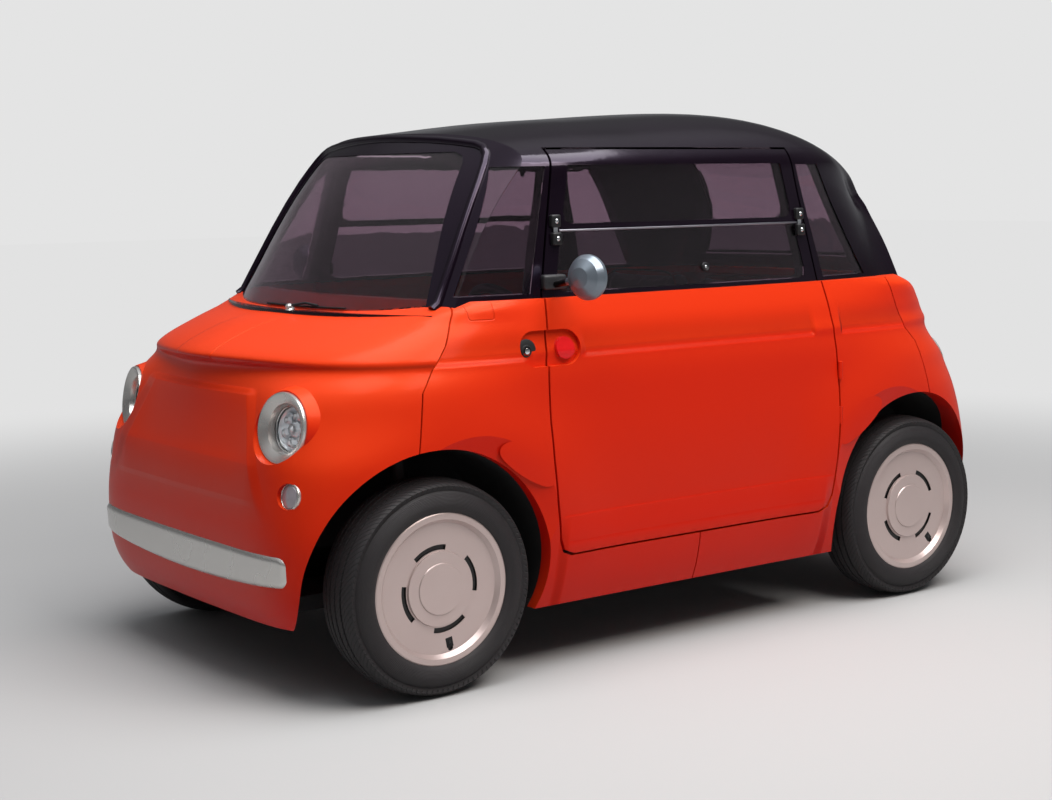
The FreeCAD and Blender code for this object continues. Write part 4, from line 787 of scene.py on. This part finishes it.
def flapWindow():
    def onFrame(along, height, stand):
        return hit("door_frame_left", (flap["start"], along, height), (-1, 0, 0))[0] + Vector((stand, 0, 0))

    parts = []

    def keep(piece, name, finish, angle=35):
        parts.append(finishPiece(piece, name + "_left", finish, "left_door", angle))

    front, rear = flap["ends"]
    line = [onFrame(front + (rear - front) * step / flap["barSteps"], flap["height"], flap["barStand"])
            for step in range(flap["barSteps"] + 1)]
    keep(traceTube(line, flap["barRadius"]), "flapBar", "dullSteel", 60)
    for label, along in (("front", front - flap["hingeReach"]), ("rear", rear + flap["hingeReach"])):
        for index, height in enumerate(flap["hingeHeights"]):
            block = roundBlock(flap["hinge"], onFrame(along, height, flap["hingeStand"]), flap["hingeEdge"])
            keep(block, f"flapHinge_{label}_{index}", "steel")
            screw = spunForm(flap["screw"], onFrame(along, height, flap["screwStand"]), (1, 0, 0), 20)
            keep(screw, f"flapScrew_{label}_{index}", "chrome")
        middle = sum(flap["hingeHeights"]) / 2
        link = roundBlock(flap["link"], onFrame(along, middle, flap["linkStand"]), flap["linkEdge"])
        keep(link, f"flapLink_{label}", "chrome")
    point, normal = hit("door_glass_left", (flap["start"], *flap["catch"]), (-1, 0, 0))
    keep(spunForm(flap["knob"], point, normal, 32), "flapCatch", "trim")
    keep(spunForm(flap["pin"], point, normal, 24), "flapPin", "chrome")
    for part in parts:
        copyPiece(part, part.name.replace("_left", "_right"), "right_door", "mirror")


flapWindow()
print("flap windows made")


# Door mirrors: glass on the rear of each head, and the foot of its arm
mirrorHead = {"centre": (0.7439, -0.45135, 1.04544), "turn": 15,
              "glass": ((0.0, 0.0022), (0.0354, 0.0018), (0.0531, 0.0008), (0.053395, 0.0002), (0.0, 0.0002)),
              "foot": (0.030, 0.075, 0.040), "footPlace": (0.612, -0.462, 1.030), "footEdge": 0.008}


def mirrorGlass():
    turn = math.radians(mirrorHead["turn"])
    glass = spunForm(mirrorHead["glass"], mirrorHead["centre"], (-math.sin(turn), math.cos(turn), 0))
    glass = finishPiece(glass, "mirrorGlass_left", "mirror", "left_door")
    copyPiece(glass, "mirrorGlass_right", "right_door", "mirror")
    foot = roundBlock(mirrorHead["foot"], mirrorHead["footPlace"], mirrorHead["footEdge"])
    foot = finishPiece(foot, "mirrorFoot_left", "trim", "left_door")
    copyPiece(foot, "mirrorFoot_right", "right_door", "mirror")


mirrorGlass()
print("mirrors made")


# Latch: key lock in its cup, in the recess ahead of the door's button
latch = {"place": (1.2, -0.583, 0.859),
         "lock": ((0.0, 0.0075), (0.0055, 0.0075), (0.0075, 0.0065), (0.0085, 0.004), (0.0085, -0.002), (0.0, -0.002)),
         "cup": ((0.0, 0.0012), (0.0115, 0.0012), (0.0125, 0.0042), (0.0150, 0.0042), (0.0165, 0.0012),
                 (0.0290, 0.0012), (0.0310, 0.0), (0.0310, -0.003), (0.0, -0.003))}


def latchParts():
    point, normal = hit("front_side_panels", latch["place"], (-1, 0, 0))
    for name, outline, steps, finish, slotName in (("latchLock", latch["lock"], 32, "chrome", "silver_trim"),
                                                   ("latchCup", latch["cup"], 48, "dark", "structure")):
        piece = finishPiece(spunForm(outline, point, (1, 0, 0), steps), name + "_left", finish, "car")
        copyPiece(piece, name + "_right", "car", "turn")


latchParts()
print("latches made")


# Wiper parked along the foot of the windscreen
wiperSizes = {"pivot": (0.07, -0.945), "above": 1.2, "seat": 0.002, "lean": (0, -0.25, 1),
              "cap": ((0.0, 0.016), (0.006, 0.015), (0.010, 0.011), (0.011, 0.003), (0.014, 0.0), (0.014, -0.004),
                      (0.0, -0.004)),
              "blade": (-0.11, 0.27), "bladeSteps": 11, "height": 0.967, "stand": (0, -0.006, 0.001), "radius": 0.0030,
              "armRadius": 0.0036, "armRoot": (0, 0, 0.010), "armKnee": (-0.05, -0.012, 0.010),
              "armTip": (0, -0.004, 0.004), "joint": 8}


def wiper():
    w = wiperSizes
    over = (*w["pivot"], w["above"])
    base = (hit("cabin_frame", over, (0, 0, -1)) or hit("nose_panel", over, (0, 0, -1)))[0] + Vector((0, 0, w["seat"]))
    finishPiece(spunForm(w["cap"], base, w["lean"], 32), "wiperPivot", "silver", "car")
    first, last = w["blade"]
    blade = []
    for step in range(w["bladeSteps"] + 1):
        found = hit("windscreen", (first + (last - first) * step / w["bladeSteps"], -1.6, w["height"]), (0, 1, 0))
        if found:
            blade.append(found[0] + Vector(w["stand"]))
    finishPiece(traceTube(blade, w["radius"]), "wiperBlade", "rubber", "car", 50)
    joint = blade[w["joint"]]
    line = [base + Vector(w["armRoot"]), joint + Vector(w["armKnee"]), joint + Vector(w["armTip"])]
    finishPiece(traceTube(line, w["armRadius"]), "wiperArm", "trim", "car", 50)


wiper()
print("wiper made")


# Rear number-plate holder, left blank, on its two bolts
plate = {"middle": (0.0, 1.2669, 0.4752), "size": (0.44, 0.0056, 0.135), "edge": 0.0024, "border": 0.006,
         "recess": 0.002, "bolts": ((-0.120, 1.2678, 0.4752), (0.120, 1.2678, 0.4752)),
         "head": ((0.0, 0.0020), (0.0035, 0.0018), (0.0056, 0.0010), (0.006, 0.0), (0.0, 0.0))}


def plateHolder():
    base = roundBlock(plate["size"], plate["middle"], plate["edge"])
    sinkRear(base, 0.999, plate["border"], plate["recess"])
    finishPiece(base, "plateHolder", "dark", "car")
    for index, place in enumerate(plate["bolts"]):
        bolt = spunForm(plate["head"], place, (0, 1, 0), 24)
        finishPiece(bolt, f"plateBolt_{index}", "steel", "car")


plateHolder()


# Seats: four crowned cushions with piping, blown up by cloth pressure from slightly smaller forms
seat = {"pressure": 4.0, "frames": 20, "quality": 4, "voxel": 0.006, "shrink": 0.016, "cap": 0.016, "edge": 0.022,
        "channels": (-0.24, -0.08, 0.08, 0.24), "channelHalf": 0.007, "channelDepth": 0.006, "channelSpan": 0.36,
        "rim": 0.33, "soften": (0.4, 2), "across": 0.285, "half": 0.22, "front": -0.09, "foot": 0.420,
        "cushion": (0.44, 0.45, 0.095), "back": (0.44, 0.085, 0.56), "backGap": 0.006, "backFoot": 0.4675, "lean": -12,
        "shift": {"left": 0.0, "right": 0.081},
        "pipingRadius": 0.0035, "pipingSteps": 40, "pipingPower": 0.35, "cushionPiping": (0.202, 0.207),
        "cushionPipingAt": 0.030, "backPiping": (0.202, 0.262), "backPipingAt": -0.026}


def inflate(pad):
    # Cloth pressure over a few frames, its swelling capped and applied
    start = [vertex.co.copy() for vertex in pad.data.vertices]
    cloth = pad.modifiers.new("Cloth", "CLOTH")
    cloth.settings.use_pressure = True
    cloth.settings.uniform_pressure_force = seat["pressure"]
    cloth.settings.effector_weights.gravity = 0
    cloth.settings.quality = seat["quality"]
    cloth.collision_settings.use_collision = False
    cloth.point_cache.frame_start = 1
    cloth.point_cache.frame_end = seat["frames"]
    for step in range(1, seat["frames"] + 1):
        bpy.context.scene.frame_set(step)
    pickOut(pad)
    bpy.ops.object.modifier_apply(modifier="Cloth")
    bpy.context.scene.frame_set(1)
    for vertex, before in zip(pad.data.vertices, start):
        move = vertex.co - before
        if move.length > seat["cap"]:
            vertex.co = before + move * (seat["cap"] / move.length)


def cushion(name, corner, size, lean, swell):
    wide, deep, high = size
    deselectAll()
    bpy.ops.mesh.primitive_cube_add(size=1)
    pad = bpy.context.object
    pad.dimensions = [length - 2 * seat["shrink"] for length in size]
    bpy.ops.object.transform_apply(location=False, rotation=False, scale=True)
    bpy.ops.object.mode_set(mode="EDIT")
    bpy.ops.mesh.select_all(action="SELECT")
    bpy.ops.mesh.bevel(offset=seat["edge"], segments=3, profile=0.5)
    bpy.ops.object.mode_set(mode="OBJECT")
    pad.data.remesh_voxel_size = seat["voxel"]
    pickOut(pad)
    bpy.ops.object.voxel_remesh()
    inflate(pad)
    # sewn channels across the panel that is sat on or leaned on
    for vertex in pad.data.vertices:
        x, y, z = vertex.co
        if swell == "up":
            face, along, span = max(0, z / (high / 2)), y, deep
        else:
            face, along, span = max(0, -y / (deep / 2)), z, high
        inside = max(0.0, 1 - (abs(x) / (seat["channelSpan"] * wide)) ** 6)
        dip = sum(math.exp(-((along - at * span) / seat["channelHalf"]) ** 2) for at in seat["channels"])
        rim = math.exp(-((abs(x) - seat["rim"] * wide) / seat["channelHalf"]) ** 2)
        drop = seat["channelDepth"] * face ** 2 * max(dip * inside, rim)
        if swell == "up":
            vertex.co.z -= drop
        else:
            vertex.co.y += drop
    pickOut(pad)
    smooth = pad.modifiers.new("Smooth", "SMOOTH")
    smooth.factor, smooth.iterations = seat["soften"]
    finer = pad.modifiers.new("Finer", "SUBSURF")
    finer.levels = finer.render_levels = 1
    turn = Matrix.Rotation(math.radians(lean), 4, "X")
    middle = Matrix.Translation(Vector(corner)) @ turn @ Matrix.Translation(Vector((wide / 2, deep / 2, high / 2)))
    pad.matrix_world = middle
    finishPiece(pad, name, "cloth", "car", 60)
    return pad, middle


def pipingLoop(name, middle, half, flatAxis, level):
    # A rounded rectangle of cord in the plane of the cushion's panel
    points = []
    first, second = [axis for axis in range(3) if axis != flatAxis]
    for step in range(seat["pipingSteps"]):
        angle = math.tau * step / seat["pipingSteps"]
        point = [0.0, 0.0, 0.0]
        for axis, reach, share in ((first, half[0], math.cos(angle)), (second, half[1], math.sin(angle))):
            point[axis] = reach * math.copysign(abs(share) ** seat["pipingPower"], share)
        point[flatAxis] = level
        points.append(middle @ Vector(point))
    finishPiece(traceTube(points, seat["pipingRadius"], True, 2), name, "piping", "car", 60)


for label, side in sides.items():
    left, front = side * seat["across"] - seat["half"], seat["front"] + seat["shift"][label]
    pad, middle = cushion(f"seatCushion_{label}", (left, front, seat["foot"]), seat["cushion"], 0, "up")
    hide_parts(f"seat_pads_{label}")
    pipingLoop(f"seatPiping_{label}", middle, seat["cushionPiping"], 2, seat["cushionPipingAt"])
    foot = (left, front + seat["cushion"][1] + seat["backGap"], seat["backFoot"])
    back, middle = cushion(f"seatBack_{label}", foot, seat["back"], seat["lean"], "front")
    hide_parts(f"seat_pads_{label}")
    pipingLoop(f"backPiping_{label}", middle, seat["backPiping"], 1, seat["backPipingAt"])
print("seats made")


# Cabin details: display, vents, wheel pad, door linings
dashParts = {"blocks": (("driverDisplay", 0.274, (0.17, 0.016, 0.085)), ("phoneRest", 0.0, (0.10, 0.016, 0.125))),
             "sunk": 0.012, "height": 0.872, "edge": 0.006, "lean": -14, "border": 0.008, "recess": 0.002,
             "vents": (-0.46, 0.46), "ventHeight": 0.790, "ventSunk": 0.001,
             "ring": ((0.020, 0.004), (0.034, 0.006), (0.039, 0.003), (0.040, -0.006), (0.020, -0.006), (0.020, 0.004)),
             "slat": (0.052, 0.006, 0.004), "slatEdge": 0.0015, "slatFoot": 0.778, "slatStep": 0.012, "slats": 3}
wheelPad = {"hub": (0.2736, -0.36, 0.8514), "tilt": 27,
            "outline": ((0.0, 0.026), (0.030, 0.025), (0.046, 0.020), (0.0535, 0.010), (0.054, 0.0), (0.0, 0.0))}


def cabinDetails():
    d = dashParts
    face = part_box("dashboard")[1].y
    for label, across, size in d["blocks"]:
        place = (across, face - d["sunk"], d["height"])
        block = roundBlock(size, place, d["edge"], (math.radians(d["lean"]), 0, 0))
        sinkRear(block, 0.9, d["border"], d["recess"])
        finishPiece(block, label, "screen", "car")
    for index, across in enumerate(d["vents"]):
        vent = spunForm(d["ring"], (across, face - d["ventSunk"], d["ventHeight"]), (0, 1, 0), 40)
        finishPiece(vent, f"ventRing_{index}", "trim", "car")
        for slat in range(d["slats"]):
            place = (across, face - d["ventSunk"], d["slatFoot"] + d["slatStep"] * slat)
            finishPiece(roundBlock(d["slat"], place, d["slatEdge"]), f"ventSlat_{index}_{slat}", "trim", "car")
    tilt = math.radians(wheelPad["tilt"])
    pad = spunForm(wheelPad["outline"], wheelPad["hub"], (0, math.cos(tilt), math.sin(tilt)), 40)
    finishPiece(pad, "steeringPad", "dash", "steering", 50)


lining = {"columns": 48, "rows": 30, "place": (0.55, 0, 0.665), "size": (0.84, 0.46), "inside": 0.30, "gap": 0.003,
          "thickness": 0.004, "edge": 0.0015, "missing": 0.60, "rest": (0.050, 0.34, 0.040), "restAt": (0.05, 0.70),
          "restGap": 0.026, "restEdge": 0.012}


def doorLining():
    # A moulded board that follows the door's inner wall, with an armrest
    s = lining
    deselectAll()
    bpy.ops.mesh.primitive_grid_add(x_subdivisions=s["columns"], y_subdivisions=s["rows"], size=1, location=s["place"],
                                    rotation=(math.radians(90), 0, math.radians(90)))
    board = bpy.context.object
    board.scale = (*s["size"], 1)
    bpy.ops.object.transform_apply(location=True, rotation=True, scale=True)
    for vertex in board.data.vertices:
        found = hit("door_left", (s["inside"], vertex.co.y, vertex.co.z), (1, 0, 0))
        vertex.co.x = (found[0].x if found else s["missing"]) - s["gap"]
    thick = board.modifiers.new("Board", "SOLIDIFY")
    thick.thickness, thick.offset = s["thickness"], 0.0
    edge = board.modifiers.new("Edge", "BEVEL")
    edge.width, edge.segments = s["edge"], 2
    board = finishPiece(board, "doorLining_left", "dash", "left_door", 50)
    copyPiece(board, "doorLining_right", "right_door", "mirror")
    wall = hit("door_left", (s["inside"], *s["restAt"]), (1, 0, 0))[0].x
    rest = roundBlock(s["rest"], (wall - s["restGap"], *s["restAt"]), s["restEdge"])
    rest = finishPiece(rest, "doorArmrest_left", "trim", "left_door")
    copyPiece(rest, "doorArmrest_right", "right_door", "mirror")


shelf = {"half": 0.50, "front": 0.012, "missing": -0.80, "back": -0.53, "height": 0.948, "drop": 0.050, "rows": 16,
         "columns": 40, "thickness": 0.006, "screenHeight": 0.968}


def dashShelf():
    # Black ledge between the foot of the windscreen and the dashboard
    deselectAll()
    bpy.ops.mesh.primitive_grid_add(x_subdivisions=shelf["columns"], y_subdivisions=shelf["rows"], size=2)
    ledge = bpy.context.object
    for vertex in ledge.data.vertices:
        across, share = vertex.co.x * shelf["half"], (vertex.co.y + 1) / 2
        found = hit("windscreen", (across, -1.6, shelf["screenHeight"]), (0, 1, 0))
        front = (found[0].y if found else shelf["missing"]) + shelf["front"]
        vertex.co = (across, front + (shelf["back"] - front) * share, shelf["height"] - shelf["drop"] * share ** 2)
    wall = ledge.modifiers.new("Wall", "SOLIDIFY")
    wall.thickness, wall.offset = shelf["thickness"], 0.0
    finishPiece(ledge, "dashShelf", "dark", "car", 50)


cabinDetails()
dashShelf()
doorLining()
print("cabin details made")


# Floor, light and camera
stage = {"floor": 80, "floorColour": "#B4B4B4", "backdrop": "#E2E2E2", "fade": (1.6, 6.0), "air": "#F4F6FA",
         "seenAir": "#E4E4E4", "glow": ((0.0, 0.26), (0.10, 0.24), (0.22, 0.07), (0.50, 0.12), (1.0, 0.80)),
         "aim": (0, 0, 0.7),
         "lights": (("overheadSoftbox", (1.2, -0.2, 4.4), (4.6, 3.0), 235, "#FFFFFF"),
                    ("sideSoftbox", (3.9, 0.4, 4.5), (3.0, 1.6), 125, "#FFF8F2"))}


def stageFloor():
    deselectAll()
    bpy.ops.mesh.primitive_plane_add(size=stage["floor"], location=(0, 0, 0))
    floor = bpy.context.object
    floor.name = "studioFloor"
    # Painted studio floor that turns into the pale backdrop a few metres out
    material = makeMaterial("paintedStudioFloor", {"Roughness": 0.9, "Base Color": linear(stage["floorColour"])}, ())
    tree = material.node_tree
    known = wireUp(tree, {}, (
        ("space", "TexCoord"),
        ("reach", "length", "space.Object"),
        ("far", "smooth", "reach", *stage["fade"]),
        ("ray", "LightPath"),
        ("share", "MULTIPLY", "far", "ray.Is Camera Ray"),
        ("pale", "Emission", {"Color": linear(stage["backdrop"]), "Strength": 1.0}),
        ("mix", "MixShader", "share", tree.nodes["Principled BSDF"].outputs[0], "pale")))
    tree.links.new(known["mix"], tree.nodes["Material Output"].inputs["Surface"])
    floor.data.materials.append(material)


def stageLight():
    world = bpy.data.worlds.new("studioAir")
    bpy.context.scene.world = world
    world.use_nodes = True
    tree = world.node_tree
    tree.nodes.clear()
    known = wireUp(tree, {}, (
        ("ray", "LightPath"),
        ("seen", "MAXIMUM", "ray.Is Camera Ray", "ray.Is Transmission Ray"),
        ("space", "TexCoord"),
        ("heading", "SeparateXYZ", "space.Generated"),
        ("glow", "ramp", "heading.Z", "LINEAR", stage["glow"]),
        ("light", "Background", {"Color": linear(stage["air"]), "Strength": "glow"}),
        ("back", "Background", {"Color": linear(stage["seenAir"]), "Strength": 1.0}),
        ("mix", "MixShader", "seen", "light", "back")))
    addNode(tree, "ShaderNodeOutputWorld", inputs={"Surface": known["mix"]})
    for name, place, size, power, colour in stage["lights"]:
        bpy.ops.object.light_add(type="AREA", location=place)
        box = bpy.context.object
        box.name = name
        box.data.shape = "RECTANGLE"
        box.data.size, box.data.size_y = size
        box.data.energy = power
        box.data.color = linear(colour)[:3]
        box.rotation_euler = (Vector(stage["aim"]) - Vector(place)).to_track_quat("-Z", "Y").to_euler()


view = {"place": (4.35619, -3.24445, 1.28145), "yaw": 0.914515, "pitch": 0.122526, "roll": -0.015306,
        "focal": 1779.907, "middle": (585.33, 403.88), "frame": (1052, 800), "sensor": 36, "far": 200}


def photoCamera():
    yaw, pitch, roll = view["yaw"], view["pitch"], view["roll"]
    ahead = Vector((-math.sin(yaw) * math.cos(pitch), math.cos(yaw) * math.cos(pitch), -math.sin(pitch)))
    right = Vector((math.cos(yaw), math.sin(yaw), 0))
    up = right.cross(ahead)
    rolledRight = math.cos(roll) * right + math.sin(roll) * up
    rolledUp = -math.sin(roll) * right + math.cos(roll) * up
    bpy.ops.object.camera_add(location=view["place"])
    camera = bpy.context.object
    turn = Matrix((rolledRight, rolledUp, -ahead)).transposed().to_4x4()
    camera.matrix_world = Matrix.Translation(Vector(view["place"])) @ turn
    wide, tall = view["frame"]
    camera.data.sensor_width = view["sensor"]
    camera.data.lens = view["sensor"] * view["focal"] / wide
    camera.data.shift_x = (wide / 2 - view["middle"][0]) / wide
    camera.data.shift_y = (view["middle"][1] - tall / 2) / wide
    camera.data.clip_end = view["far"]
    bpy.context.scene.camera = camera


stageFloor()
stageLight()
photoCamera()
bpy.context.scene.view_settings.view_transform = "Standard"
print("stage set")
